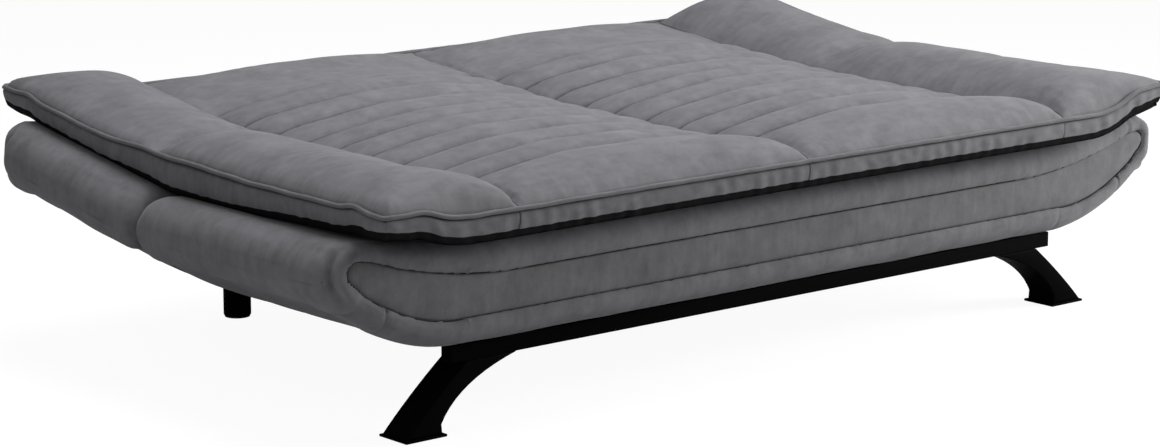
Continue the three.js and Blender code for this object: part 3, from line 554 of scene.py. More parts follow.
def grid(bm, columns, rows):
    """A flat grid, with each vertex's column and row as arrays."""
    verts = bmesh.ops.create_grid(bm, x_segments=columns, y_segments=rows, size=1)["verts"]
    flat = np.array([vert.co for vert in verts])
    column = np.rint((flat[:, 0] + 1) / 2 * columns).astype(int)
    row = np.rint((flat[:, 1] + 1) / 2 * rows).astype(int)
    return verts, column, row


def place_verts(verts, places):
    for vert, place in zip(verts, places.tolist()):
        vert.co = place


def set_uvs(bm, verts, pattern):
    """Each vertex's place in the flat pattern becomes its UV, in metres."""
    layer = bm.loops.layers.uv.verify()
    uv_of = dict(zip(verts, pattern.tolist()))
    for face in bm.faces:
        for loop in face.loops:
            if loop.vert in uv_of:
                loop[layer].uv = uv_of[loop.vert]


def wrapped(bm, rings, pattern_u, pattern_v, close_ends=True):
    """A skin over rings of points: a grid wrapped round until its long edges meet and weld."""
    columns, rows = rings.shape[0] - 1, rings.shape[1]
    verts, column, row = grid(bm, columns, rows)
    set_uvs(bm, verts, np.stack([pattern_u[column], pattern_v[row]], axis=-1))
    place_verts(verts, rings[column, row % rows])
    bmesh.ops.remove_doubles(bm, verts=verts, dist=1e-7)
    if close_ends:
        bmesh.ops.holes_fill(bm, edges=[edge for edge in bm.edges if edge.is_boundary], sides=0)
    bmesh.ops.recalc_face_normals(bm, faces=bm.faces)
    return bm


def tube_rings(path, radius, sides, closed):
    """Rings of points round a path, kept upright."""
    path = np.asarray(path, float)
    if closed:
        ahead, behind = np.roll(path, -1, 0), np.roll(path, 1, 0)
    else:
        ahead = np.vstack([path[1:], path[-1:]])
        behind = np.vstack([path[:1], path[:-1]])
    along = ahead - behind
    along /= np.linalg.norm(along, axis=1)[:, None]
    upward = np.tile([0.0, 0.0, 1.0], (len(path), 1))
    side = np.cross(along, upward)
    side /= np.linalg.norm(side, axis=1)[:, None]
    upward = np.cross(side, along)
    angle = np.arange(sides) * math.tau / sides
    spokes = np.cos(angle)[None, :, None] * side[:, None] + np.sin(angle)[None, :, None] * upward[:, None]
    rings = path[:, None] + radius * spokes
    return np.vstack([rings, rings[:1]]) if closed else rings


def bead(name, path, radius, finish, closed=True, sides=10):
    """A round cord sewn along a path."""
    rings = tube_rings(path, radius, sides, closed)
    middle = rings.mean(axis=1)
    steps = np.linalg.norm(np.diff(middle, axis=0), axis=1)
    pattern_u = np.concatenate([[0], np.cumsum(steps)])
    pattern_v = np.arange(sides + 1) * radius * math.tau / sides
    bm = wrapped(bmesh.new(), rings, pattern_u, pattern_v, close_ends=not closed)
    return add_piece(name, bm, finish)


FOAM_PRESSURE = 3.0
FOAM_SLACK = 0.012
FOAM_PUSH_LIMIT = 0.01
FOAM_FRAMES = 20


def fill_with_foam(piece, sewn):
    """Cloth under a light pressure: the sewn vertices stay, and the rest move by a limited way."""
    mesh = piece.data
    count = len(mesh.vertices)
    start = np.empty(count * 3)
    mesh.vertices.foreach_get("co", start)
    group = piece.vertex_groups.new(name="sewn")
    group.add(np.flatnonzero(sewn).tolist(), 1.0, "REPLACE")
    cloth = piece.modifiers.new("foam", "CLOTH")
    cloth.settings.quality = 5
    cloth.settings.mass = 0.25
    cloth.settings.tension_stiffness = 12
    cloth.settings.compression_stiffness = 4
    cloth.settings.shear_stiffness = 4
    cloth.settings.bending_stiffness = 0.4
    cloth.settings.use_pressure = True
    cloth.settings.uniform_pressure_force = FOAM_PRESSURE
    cloth.settings.vertex_group_mass = "sewn"
    cloth.settings.shrink_min = -FOAM_SLACK
    cloth.settings.effector_weights.gravity = 0
    cloth.point_cache.frame_start = 1
    cloth.point_cache.frame_end = FOAM_FRAMES
    for step in range(1, FOAM_FRAMES + 1):
        bpy.context.scene.frame_set(step)
    graph = bpy.context.evaluated_depsgraph_get()
    end = np.empty(count * 3)
    piece.evaluated_get(graph).data.vertices.foreach_get("co", end)
    piece.modifiers.remove(cloth)
    piece.vertex_groups.remove(group)
    bpy.context.scene.frame_set(1)
    move = (end - start).reshape(-1, 3)
    length = np.linalg.norm(move, axis=1)
    move *= (np.minimum(length, FOAM_PUSH_LIMIT) / np.maximum(length, 1e-9))[:, None]
    move_to(mesh, start + move.ravel())


def coordinates(mesh):
    flat = np.empty(len(mesh.vertices) * 3)
    mesh.vertices.foreach_get("co", flat)
    return flat.reshape(-1, 3)


def vertex_normals(mesh):
    flat = np.empty(len(mesh.vertices) * 3, np.float32)
    mesh.vertex_normals.foreach_get("vector", flat)
    return flat.reshape(-1, 3)


def move_to(mesh, places):
    mesh.vertices.foreach_set("co", places.ravel())
    mesh.update()


def push_out(mesh, distance):
    """Moves each vertex along its normal."""
    move_to(mesh, coordinates(mesh) + vertex_normals(mesh) * np.asarray(distance)[:, None])


def line_faces(mesh, lined):
    """Gives the black liner to the faces whose vertices are all lined."""
    mesh.materials.append(finish_named("liner"))
    below = np.zeros(len(mesh.polygons), np.int32)
    for face in mesh.polygons:
        below[face.index] = all(lined[index] for index in face.vertices)
    mesh.polygons.foreach_set("material_index", below)


def rise_at(x, length):
    """How far along the lift at an end a place is, from 0 to 1."""
    nose_x = HALF_LENGTH - settings("block_sizes").nose_radius
    return np.clip((np.abs(x) - nose_x) / length + 1, 0, 1)


def nose_half_height(x):
    radius = settings("block_sizes").nose_radius
    past = np.maximum(0, np.abs(x) - (HALF_LENGTH - radius))
    return np.sqrt(np.maximum(0, radius**2 - past**2))


def nose_z():
    sizes = settings("block_sizes")
    return BLOCK_TOP + sizes.end_lift - sizes.nose_radius


def block_top(x):
    sizes = settings("block_sizes")
    lifted = BLOCK_TOP + sizes.end_lift * rise_at(x, sizes.top_rise) ** 2
    past = np.abs(x) > HALF_LENGTH - sizes.nose_radius
    return np.where(past, nose_z() + nose_half_height(x), lifted)


def block_bottom(x):
    sizes = settings("block_sizes")
    rise = nose_z() - sizes.nose_radius - BLOCK_BOTTOM
    lifted = BLOCK_BOTTOM + rise * rise_at(x, sizes.bottom_rise) ** 2
    past = np.abs(x) > HALF_LENGTH - sizes.nose_radius
    return np.where(past, nose_z() - nose_half_height(x), lifted)


def edge_radius(x):
    sizes = settings("block_sizes")
    radius = mix(sizes.edge_radius, sizes.nose_edge_radius, rise_at(x, sizes.bottom_rise))
    return np.minimum(radius, (block_top(x) - block_bottom(x)) / 2 * 0.96)


def corner_inset(x, radius):
    past = np.maximum(0, np.abs(x) - (HALF_LENGTH - radius))
    return radius - np.sqrt(np.maximum(0, radius**2 - past**2))


def fold_inset(x):
    slope, run = math.sin(HALF_FOLD), math.cos(HALF_FOLD)
    needed = (slope * block_top(x) - (slope + run - 1) * edge_radius(x)) / run
    return 0.003 + np.maximum(0, needed)


def half_depth(half):
    return SEAT_DEPTH if half == "seat" else settings("block_sizes").depth


def half_in_room(half, x, s, h):
    """Places of one half, with s from the fold outwards and h from the fold axis."""
    if half == "seat":
        return in_room(x, -s, h, 0.0)
    return in_room(x, s, h, BACK_TILT)


INSERT_TIP = 1.006
INSERT_TIP_RADIUS = 0.034
INSERT_THICKNESS = 0.005
UPPER_BAND = (0.07, 0.0285)
UPPER_BAND_RISE = (0.62, 0.335)
TIP_LIFT = 0.006
SHORT_SEAMS = (0.752, 0.928, 0.957)
LINER_HALF_LENGTH = 0.85
LINER_FOLD_MARGIN = 0.03
LINER_OUTER_MARGIN = 0.1


def insert_lines(x):
    """The lower and upper welt along a long face, before they close at the tips."""
    share = np.clip((np.abs(x) - UPPER_BAND_RISE[0]) / UPPER_BAND_RISE[1], 0, 1)
    return block_bottom(x) + edge_radius(x), block_top(x) - mix(*UPPER_BAND, share**2)


def insert_edges(x):
    """The lower and upper outline of a long insert, which closes in a round tip."""
    lower, upper = insert_lines(x)
    past = np.clip((np.abs(x) - (INSERT_TIP - INSERT_TIP_RADIUS)) / INSERT_TIP_RADIUS, 0, 1)
    centre = (upper + lower) / 2 + TIP_LIFT * past
    half = (upper - lower) / 2 * np.sqrt(np.maximum(0, 1 - past**2))
    return centre - half, centre + half


def cover_stations():
    """Places along a cover, closer together at the noses and at the short seams."""
    sizes = settings("block_sizes")
    nose_x = HALF_LENGTH - sizes.nose_radius
    main = np.linspace(0, nose_x - 0.06, 80)
    tip = np.linspace(nose_x - 0.06, nose_x, 17)
    angles = np.radians(np.linspace(0, 87, 19)[1:])
    nose = nose_x + sizes.nose_radius * np.sin(angles)
    seams = np.concatenate([place + np.array([-0.004, 0.0, 0.004]) for place in SHORT_SEAMS])
    half = np.unique(np.concatenate([main, tip, nose, seams]))
    keep = np.concatenate([[True], np.diff(half) > 0.0012])
    half = half[keep]
    return np.concatenate([-half[:0:-1], half])


def cover_ring():
    """Round the cover's section: shares of the way out and up, and the angle of each point."""
    turns = np.linspace(0, 1, 10)
    near_welt = np.unique(np.concatenate([turns, [0.88, 0.93, 0.965, 0.985]]))
    low_face = [0.02, 0.05, 0.09, *np.linspace(0.14, 0.7, 8)]
    outer_face = np.unique([*low_face, 0.75, 0.78, 0.8, 0.82, 0.85, 0.9, 0.95, 1])
    inner_face = np.linspace(0, 1, 9)[1:]
    flat = np.linspace(0, 1, 23)[1:-1]
    ring = [(1.0, 1.0, math.pi / 2 * turn) for turn in turns]
    ring += [(1 - share, 1.0, math.pi / 2) for share in flat]
    ring += [(0.0, 1.0, math.pi / 2 * (1 + turn)) for turn in turns]
    ring += [(0.0, 1 - share, math.pi) for share in inner_face]
    ring += [(0.0, 0.0, math.pi / 2 * (2 + turn)) for turn in turns[1:]]
    ring += [(share, 0.0, math.pi * 1.5) for share in flat]
    ring += [(1.0, 0.0, math.pi / 2 * (3 + turn)) for turn in near_welt]
    ring += [(1.0, share, math.tau) for share in outer_face[:-1]]
    return np.array(ring)


def build_cover(half):
    """The sewn cover over one half's foam: plump rolls round the insert, and dimpled ends."""
    sizes = settings("block_sizes")
    face = half_depth(half) - INSERT_THICKNESS
    x = cover_stations()
    ring = cover_ring()
    a, b, angle = ring[:, 0], ring[:, 1], ring[:, 2]
    radius = edge_radius(x)
    lower, upper = insert_lines(x)
    roll = np.minimum(radius, block_top(x) - upper - 0.003)
    high_outer = (a > 0.5) & (b > 0.79)
    corner = np.where(high_outer[None], roll[:, None], radius[:, None])
    near = fold_inset(x) + corner_inset(x, sizes.fold_corner) + radius
    far = (face - corner_inset(x, sizes.outer_corner))[:, None] - corner
    s = mix(near[:, None], far, a[None]) + corner * np.cos(angle)[None]
    h = mix((block_bottom(x) + radius)[:, None], block_top(x)[:, None] - corner, b[None])
    on_face = (a > 0.5) & (angle > 6.28)
    to_welt = mix(lower[:, None], upper[:, None], b[None] / 0.8)
    past_welt = mix(upper[:, None], (block_top(x) - roll)[:, None], (b[None] - 0.8) / 0.2)
    h = np.where(on_face[None], np.where(b[None] <= 0.8, to_welt, past_welt), h)
    h = h + np.where(on_face[None], 0, corner * np.sin(angle)[None])
    grid_x = np.repeat(x[:, None], len(ring), axis=1)
    rings = half_in_room(half, grid_x, s, h)
    girth = np.concatenate([[0], np.cumsum(np.linalg.norm(np.diff(rings[len(x) // 2], axis=0), axis=1))])
    girth = np.append(girth, girth[-1] + 0.01)
    bm = wrapped(bmesh.new(), rings, x, girth)
    cover = add_piece(f"{half}_cover", bm, "cover")
    push_out(cover.data, cover_swell(half, cover.data))
    line_bottom(half, cover.data)
    cut_hinge_slots(cover, half)
    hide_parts(f"{half}_block")
    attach(cover, half)
    return cover


def half_places(half, mesh):
    """x, s and h of a mesh's vertices, and how much each vertex's normal points up."""
    places, normals = coordinates(mesh), vertex_normals(mesh)
    tilt = 0.0 if half == "seat" else BACK_TILT
    way = -1 if half == "seat" else 1
    y, z = places[:, 1] - FOLD_Y, places[:, 2] - AXIS_Z
    s = way * (y * math.cos(tilt) + z * math.sin(tilt))
    h = -y * math.sin(tilt) + z * math.cos(tilt)
    up = -normals[:, 1] * math.sin(tilt) + normals[:, 2] * math.cos(tilt)
    return places[:, 0], s, h, up


def line_bottom(half, mesh):
    """Gives a cover's flat bottom the black liner, as far out as the dust cover needs."""
    x, s, _, up = half_places(half, mesh)
    across = (s > LINER_FOLD_MARGIN) & (s < half_depth(half) - LINER_OUTER_MARGIN)
    line_faces(mesh, (up < -0.6) & (np.abs(x) < LINER_HALF_LENGTH) & across)


def round_corner(x):
    """Distance along a block's face, measured round its outer corners."""
    radius = settings("block_sizes").outer_corner
    start = HALF_LENGTH - radius
    past = np.clip((np.abs(x) - start) / radius, 0, 0.999)
    return np.minimum(np.abs(x), start) + radius * np.arcsin(past)


WELT_STEPS = 260
WELT_RADIUS = 0.0023
WELT_DEPTH = 0.0052


def welt_line():
    """The closed line of an insert's welt, as x and h."""
    straight = INSERT_TIP - INSERT_TIP_RADIUS
    run = np.linspace(-straight, straight, WELT_STEPS)
    turn = np.linspace(-math.pi / 2, math.pi / 2, 26)[1:-1]
    tip = straight + INSERT_TIP_RADIUS * np.cos(turn)
    low_tip, high_tip = insert_lines(tip)
    middle = (low_tip + high_tip) / 2 + TIP_LIFT * np.cos(turn)
    side = middle + (high_tip - low_tip) / 2 * np.sin(turn)
    low, high = insert_lines(run)
    line_x = np.concatenate([run, tip, run[::-1], -tip[::-1]])
    line_h = np.concatenate([low, side, high[::-1], side[::-1]])
    return line_x, line_h


def distance_to_welt(x, h):
    """How far places on a long face are from the insert's welt, and whether they lie inside it."""
    line_x, line_h = welt_line()
    line_u = np.sign(line_x) * round_corner(line_x)
    u = np.sign(x) * round_corner(x)
    gap = np.hypot(u[:, None] - line_u[None], h[:, None] - line_h[None]).min(axis=1)
    lower, upper = insert_edges(x)
    return gap, (h > lower) & (h < upper) & (np.abs(x) < INSERT_TIP)


def cover_swell(half, mesh):
    """How far each place of a cover stands out: rolls beside the welts, valleys, seams and slack."""
    x, s, h, up = half_places(half, mesh)
    face = half_depth(half) - INSERT_THICKNESS
    outer = smooth((s - face + 0.1) / 0.04)
    gap, inside = distance_to_welt(x, h)
    beyond_tip = smooth((round_corner(x) - INSERT_TIP - 0.004) / 0.02)
    plump = mix(0.0135, 0.009, beyond_tip)
    plump = plump * (1 - 0.85 * beyond_tip * smooth((gap - 0.022) / 0.02))
    share = np.clip(gap / 0.024, 0, 1)
    roll = plump * np.sqrt(1 - (1 - share) ** 2)
    upright = np.sqrt(np.clip(1 - up**2, 0, 1))
    swell = np.where(inside, -0.003, roll * upright) * outer
    valley = bump_at(gap, 0.027, 0.006) * smooth((round_corner(x) - 0.985) / 0.03)
    swell -= 0.015 * valley * outer * upright * ~inside
    above = h > insert_lines(x)[1]
    right_seam, lower_seam, upper_seam = SHORT_SEAMS
    seam = bump_at(np.abs(x), np.where(above, upper_seam, lower_seam), 0.003)
    seam = np.maximum(seam, bump_at(x, right_seam, 0.003) * ~above)
    swell -= 0.0018 * seam * (~inside & (gap < 0.05)) * outer * upright
    pucker = 0.0014 * waves(x * 22, h * 6, 31, 2) * np.exp(-gap / 0.012) * outer
    slack = 0.0016 * waves(x * 4, (s + h) * 4, 11 if half == "seat" else 12)
    return swell + (pucker + slack) * np.where(up > 0.8, 0, 1)


SLOT_RUN = (-0.04, 0.16)
SLOT_RISE = (-0.24, 0.1)


def cut_hinge_slots(cover, half):
    """Opens the cover where the hinge plates swing, as the foam is cut."""
    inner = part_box("seat_hinge_plate_right")[0].x - 0.03
    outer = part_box("pivot_bolt_right")[1].x + 0.004
    for side in SIDES.values():
        corners = [(x * side, s, h) for x in (inner, outer) for s in SLOT_RUN for h in SLOT_RISE]
        bm = bmesh.new()
        verts = bmesh.ops.create_cube(bm, size=1)["verts"]
        ordered = sorted(verts, key=lambda v: (v.co.x, v.co.y, v.co.z))
        x, s, h = (np.array(column) for column in zip(*corners))
        place_verts(ordered, half_in_room(half, x, s, h))
        bmesh.ops.recalc_face_normals(bm, faces=bm.faces)
        cutter = add_piece("slot_cutter", bm, "cover")
        modifier = cover.modifiers.new("slot", "BOOLEAN")
        modifier.operation = "DIFFERENCE"
        modifier.solver = "EXACT"
        modifier.object = cutter
        apply_modifiers(cover)
        bpy.data.objects.remove(cutter)


def apply_modifiers(piece):
    graph = bpy.context.evaluated_depsgraph_get()
    mesh = bpy.data.meshes.new_from_object(piece.evaluated_get(graph))
    piece.modifiers.clear()
    old = piece.data
    piece.data = mesh
    bpy.data.meshes.remove(old)


def build_insert(half, node, name):
    """The long insert between the welts: a shallow pad with a round tip at each end."""
    depth = half_depth(half)
    columns, rows = 300, 14
    bm = bmesh.new()
    verts, column, row = grid(bm, columns, rows)
    x = np.sin((column / columns - 0.5) * math.pi) * INSERT_TIP
    x = mix(x, (column / columns * 2 - 1) * INSERT_TIP, 0.8)
    lower, upper = insert_edges(x)
    t = row / rows
    across = np.minimum(t, 1 - t) * (upper - lower)
    from_tip = INSERT_TIP - np.abs(x)
    edge = np.minimum(across, from_tip + across * 0.3)
    pillow = 0.006 * (1 - np.exp(-edge / 0.012)) - 0.006
    pulls = waves(x * 34, t * 0.4, 5, 2) * 0.0006 * np.exp(-across / 0.02)
    slack = waves(x * 4.5, t * 0.8, 6, 2) * 0.0009
    corner = corner_inset(x, settings("block_sizes").outer_corner)
    s = depth - corner + pillow + (pulls + slack) * smooth(edge / 0.006)
    h = mix(lower, upper, t)
    set_uvs(bm, verts, np.stack([x, h], axis=-1))
    place_verts(verts, half_in_room(half, x, s, h))
    extruded = bmesh.ops.extrude_face_region(bm, geom=list(bm.faces))
    back = [item for item in extruded["geom"] if isinstance(item, bmesh.types.BMVert)]
    inward = half_in_room(half, np.zeros(1), np.zeros(1), np.zeros(1))[0]
    inward = inward - half_in_room(half, np.zeros(1), np.full(1, 0.004), np.zeros(1))[0]
    bmesh.ops.translate(bm, verts=back, vec=Vector(inward))
    bmesh.ops.recalc_face_normals(bm, faces=bm.faces)
    insert = add_piece(name, bm, "panel")
    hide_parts(node)
    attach(insert, half)
    return insert


def build_welt(half, name):
    """The welt round an insert: one cord that runs along both edges and turns at the tips, coloured near
    black as painted shade of its groove.
    """
    depth = half_depth(half)
    x, h = welt_line()
    corner = corner_inset(x, settings("block_sizes").outer_corner)
    path = half_in_room(half, x, depth - corner - WELT_DEPTH, h)
    welt = bead(name, path, WELT_RADIUS, "welt")
    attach(welt, half)
    return welt


def topper_edge_height(x, s):
    """The piping's height round the topper's edge, which the right front corner lifts most."""
    sizes = settings("topper_sizes")
    corner = smooth((np.abs(x) - sizes.half_length) / 0.2 + 1)
    along = np.where(s < 0, -s / sizes.front, s / sizes.rear)
    height = 0.053 + 0.022 * corner + 0.010 * smooth(1 - along * 2.2) * corner - 0.012 * smooth(s / 0.25)
    height = height + 0.022 * corner * smooth(x / 0.3) * smooth((-s - 0.3) / 0.37)
    to_side = sizes.half_length - np.abs(x)
    to_end = topper_end(s)
    from_corner = np.maximum(to_side, to_end)
    height = height - 0.003 * np.exp(-from_corner / 0.03) - 0.009 * smooth((s - 0.35) / 0.15) * (1 - corner)
    ripple = 0.006 * bump_at(from_corner, 0.085, 0.03) * np.exp(-np.minimum(to_side, to_end) / 0.05)
    return height + ripple


PANEL_PLACES = (-0.4725, -0.3, -0.1, 0.0, 0.1, 0.19, 0.2835)
PANEL_HEIGHTS = (0.092, 0.094, 0.1, 0.102, 0.094, 0.087, 0.077)


def topper_height(x, s, swell):
    """The quilted top: ribs between the end seams, and plump bands all round."""
    sizes = settings("topper_sizes")
    pitch = sizes.rib_pitch
    front_start, rear_start = -sizes.seat_ribs * pitch, sizes.back_ribs * pitch
    far = np.abs(x) - sizes.seam_x
    on_back = smooth((s + 0.05) / 0.22)
    front = 1 - (1 - np.clip((front_start - s) / 0.12, 0, 1)) ** 2
    rear = 1 - (1 - np.clip((s - rear_start) / 0.11, 0, 1)) ** 2
    panel = (s > front_start) & (s < rear_start) & (far < 0)
    rib = np.where(panel, 0.012 * np.sqrt(np.abs(np.sin(math.pi * s / pitch))), 0)
    plateau = np.interp(s, PANEL_PLACES, PANEL_HEIGHTS)
    from_seam = np.minimum(np.abs(x), np.abs(far))
    wide = (1 - np.clip(from_seam / 0.28, 0, 1)) ** 1.5
    near = np.clip(from_seam / 0.07, 0, 1)
    steep = 1 - np.sqrt(1 - (1 - near) ** 2)
    level_out = 1 - 0.6 * front - 0.4 * rear
    depth = 0.036 * level_out
    cut = 0.018 * (1 - 0.35 * front)
    rise = 0.006 * front - 0.02 * rear
    body = plateau + rise + rib * swell - depth * wide - cut * steep
    side = np.sqrt(1 - (1 - np.clip(far / 0.17, 0, 1)) ** 2)
    seam = plateau + rise - depth - cut
    crest = mix(0.114, 0.094, on_back)
    body = np.where(far > 0, seam + (crest - seam) * side * mix(1, swell, 0.15), body)
    end = topper_end(s)
    to_edge = np.clip(np.minimum(sizes.half_length - np.abs(x), end) / 0.09, 0, 1)
    fall = np.sqrt(1 - (1 - to_edge) ** 2)
    edge = topper_edge_height(x, s)
    height = mix(edge, np.maximum(edge, body), fall)
    crease = 0.022 * bump_at(s, 0.05, 0.03) * smooth(far / 0.08) * fall
    return height - crease


def border_height(x, s):
    sizes = settings("topper_sizes")
    to_side = sizes.half_length - np.abs(x)
    end = topper_end(s)
    on_side = to_side < end
    from_corner = np.maximum(to_side, end)
    along_front = 0.036 - 0.014 * np.exp(-from_corner / 0.07)
    along_side = 0.034 + 0.02 * bump_at(s, -0.08, 0.24) - 0.012 * np.exp(-from_corner / 0.06)
    return np.where(on_side, along_side, along_front)


COLUMN_CELLS = (29, 69, 69, 29)
FRONT_CELLS, REAR_CELLS, RIB_CELLS = 28, 26, 10


def topper_pattern():
    """The flat pattern's columns and rows, with lines of vertices on every seam."""
    sizes = settings("topper_sizes")
    columns = np.interp(
        np.arange(sum(COLUMN_CELLS) + 1),
        np.concatenate([[0], np.cumsum(COLUMN_CELLS)]),
        [-sizes.half_length, -sizes.seam_x, 0, sizes.seam_x, sizes.half_length],
    )
    ribs = (sizes.seat_ribs + sizes.back_ribs) * RIB_CELLS
    rows = np.interp(
        np.arange(FRONT_CELLS + ribs + REAR_CELLS + 1),
        [0, FRONT_CELLS, FRONT_CELLS + ribs, FRONT_CELLS + ribs + REAR_CELLS],
        [-sizes.front, -sizes.seat_ribs * sizes.rib_pitch, sizes.back_ribs * sizes.rib_pitch, sizes.rear],
    )
    return columns, rows


def drawn_in(x, s):
    """The pattern's sides pull in between the corners once the pad is filled."""
    sizes = settings("topper_sizes")
    share_x = x / sizes.half_length
    share_s = np.where(s < 0, s / sizes.front, s / sizes.rear)
    round_trip = np.cos(np.clip(share_s, -1, 1) * math.pi / 2)
    new_x = x - np.sign(x) * sizes.edge_draw * round_trip * np.abs(share_x) ** 4
    new_s = s - np.sign(s) * sizes.edge_draw * (1 - share_x**2) * np.abs(share_s) ** 4
    return new_x, new_s


def pad_in_room(x, s, h):
    """Places on the topper, h from the blocks' tops, with the tilt eased through the fold."""
    x, s = drawn_in(x, s)
    return in_room(x, s, h + BLOCK_TOP, pad_tilt(s))


def build_topper():
    """The quilted pad: a filled top, a gathered border and an underside on the blocks."""
    sizes = settings("topper_sizes")
    columns, rows = topper_pattern()
    bm = bmesh.new()
    bm.verts.layers.float.new("flat_x")
    bm.verts.layers.float.new("flat_s")
    verts, column, row = grid(bm, len(columns) - 1, len(rows) - 1)
    x, s = columns[column], rows[row]
    place_verts(verts, pad_in_room(x, s, topper_height(x, s, 0.9)))
    flat_x = bm.verts.layers.float["flat_x"]
    flat_s = bm.verts.layers.float["flat_s"]
    for vert, place_x, place_s in zip(verts, x.tolist(), s.tolist()):
        vert[flat_x] = place_x
        vert[flat_s] = place_s
    topper = add_piece("topper", bm, "topper")
    last_row, last_column = len(rows) - 1, len(columns) - 1
    ribs = (row >= FRONT_CELLS) & (row <= last_row - REAR_CELLS)
    on_rib = ribs & ((row - FRONT_CELLS) % RIB_CELLS == 0) & (np.abs(x) <= sizes.seam_x + 1e-6)
    seam_columns = np.cumsum(COLUMN_CELLS)[:-1]
    on_cross = np.isin(column, seam_columns)
    rim = (row == 0) | (row == last_row) | (column == 0) | (column == last_column)
    flat = coordinates(topper.data)
    sewn = on_rib | on_cross | rim
    fill_with_foam(topper, sewn)
    even_out(topper.data, flat, sewn, column, row)
    close_topper(topper)
    detail_topper(topper)
    return topper


def even_out(mesh, flat, sewn, column, row):
    """Evens the foam's push along each rib, so that the cloth keeps no buckles across it."""
    order = np.lexsort((column, row))
    shape = (row.max() + 1, column.max() + 1)
    move = (coordinates(mesh) - flat)[order].reshape(*shape, 3)
    free = ~sewn[order].reshape(*shape, 1)
    for _ in range(40):
        move[:, 1:-1] = (move[:, :-2] + 2 * move[:, 1:-1] + move[:, 2:]) / 4 * free[:, 1:-1]
    places = flat.copy()
    places[order] += move.reshape(-1, 3)
    move_to(mesh, places)


LEVELS = 6
# Up to this level the border gets the black liner: a black band painted as the shade under the topper's
# overhang.
SHADE_BAND_LEVEL = 0.34


def close_topper(topper):
    """Draws the border down from the top's edge and closes the pad underneath."""
    bm = bmesh.new()
    bm.from_mesh(topper.data)
    flat_x = bm.verts.layers.float["flat_x"]
    flat_s = bm.verts.layers.float["flat_s"]
    level = bm.verts.layers.float.new("level")
    top = list(bm.verts)
    upward = Vector((0, 0, 1))
    for vert in top:
        vert[level] = 1.0
    extruded = bmesh.ops.extrude_face_region(bm, geom=list(bm.faces))
    under = [item for item in extruded["geom"] if isinstance(item, bmesh.types.BMVert)]
    for vert in under:
        vert[level] = 0.0
        vert.co -= upward
    walls = [edge for edge in bm.edges if edge.verts[0][level] != edge.verts[1][level]]
    bmesh.ops.subdivide_edges(bm, edges=walls, cuts=LEVELS - 1, use_grid_fill=True)
    lower = [vert for vert in bm.verts if vert[level] < 0.999]
    x = np.array([vert[flat_x] for vert in lower])
    s = np.array([vert[flat_s] for vert in lower])
    t = 1 - np.array([vert[level] for vert in lower])
    place_verts(lower, border_places(x, s, t))
    bmesh.ops.recalc_face_normals(bm, faces=bm.faces)
    bm.to_mesh(topper.data)
    bm.free()


def outward(x, s):
    """The way out of the pad at its edge, seen flat: along x and along s."""
    sizes = settings("topper_sizes")
    end = topper_end(s)
    to_side = sizes.half_length - np.abs(x)
    side = np.clip(1 - to_side / 0.004, 0, 1)
    front = np.clip(1 - end / 0.004, 0, 1)
    length = np.maximum(np.hypot(side, front), 1e-9)
    return np.sign(x) * side / length, np.sign(s) * front / length, np.minimum(to_side, end)


def border_places(x, s, t):
    """The border at share t of its way down, and at t = 1 the underside."""
    out_x, out_s, inside = outward(x, s)
    border = border_height(x, s)
    edge = topper_edge_height(x, s)
    bulge = 0.0035 * np.sin(math.pi * np.clip(t / 0.7, 0, 1)) - 0.0035 * t
    tuck = 0.009 * smooth((t - 0.66) / 0.3)
    reach = bulge - tuck
    down = border * np.clip(t / 0.667, 0, 1) ** 0.95
    sag = 0.015 * smooth((t - 0.66) / 0.17)
    nose_x = HALF_LENGTH - settings("block_sizes").nose_radius
    rest = block_top(np.minimum(np.abs(x), nose_x)) - BLOCK_TOP + 0.0008
    under = mix(rest, np.maximum(edge - border - sag, rest), np.exp(-inside / 0.05))
    height = np.where(t > 0.999, np.minimum(under, edge - 0.012), np.maximum(edge - down - sag, rest))
    return pad_in_room(x + out_x * reach, s + out_s * reach, height)


def attribute(mesh, name):
    values = np.empty(len(mesh.vertices), np.float32)
    mesh.attributes[name].data.foreach_get("value", values)
    return values


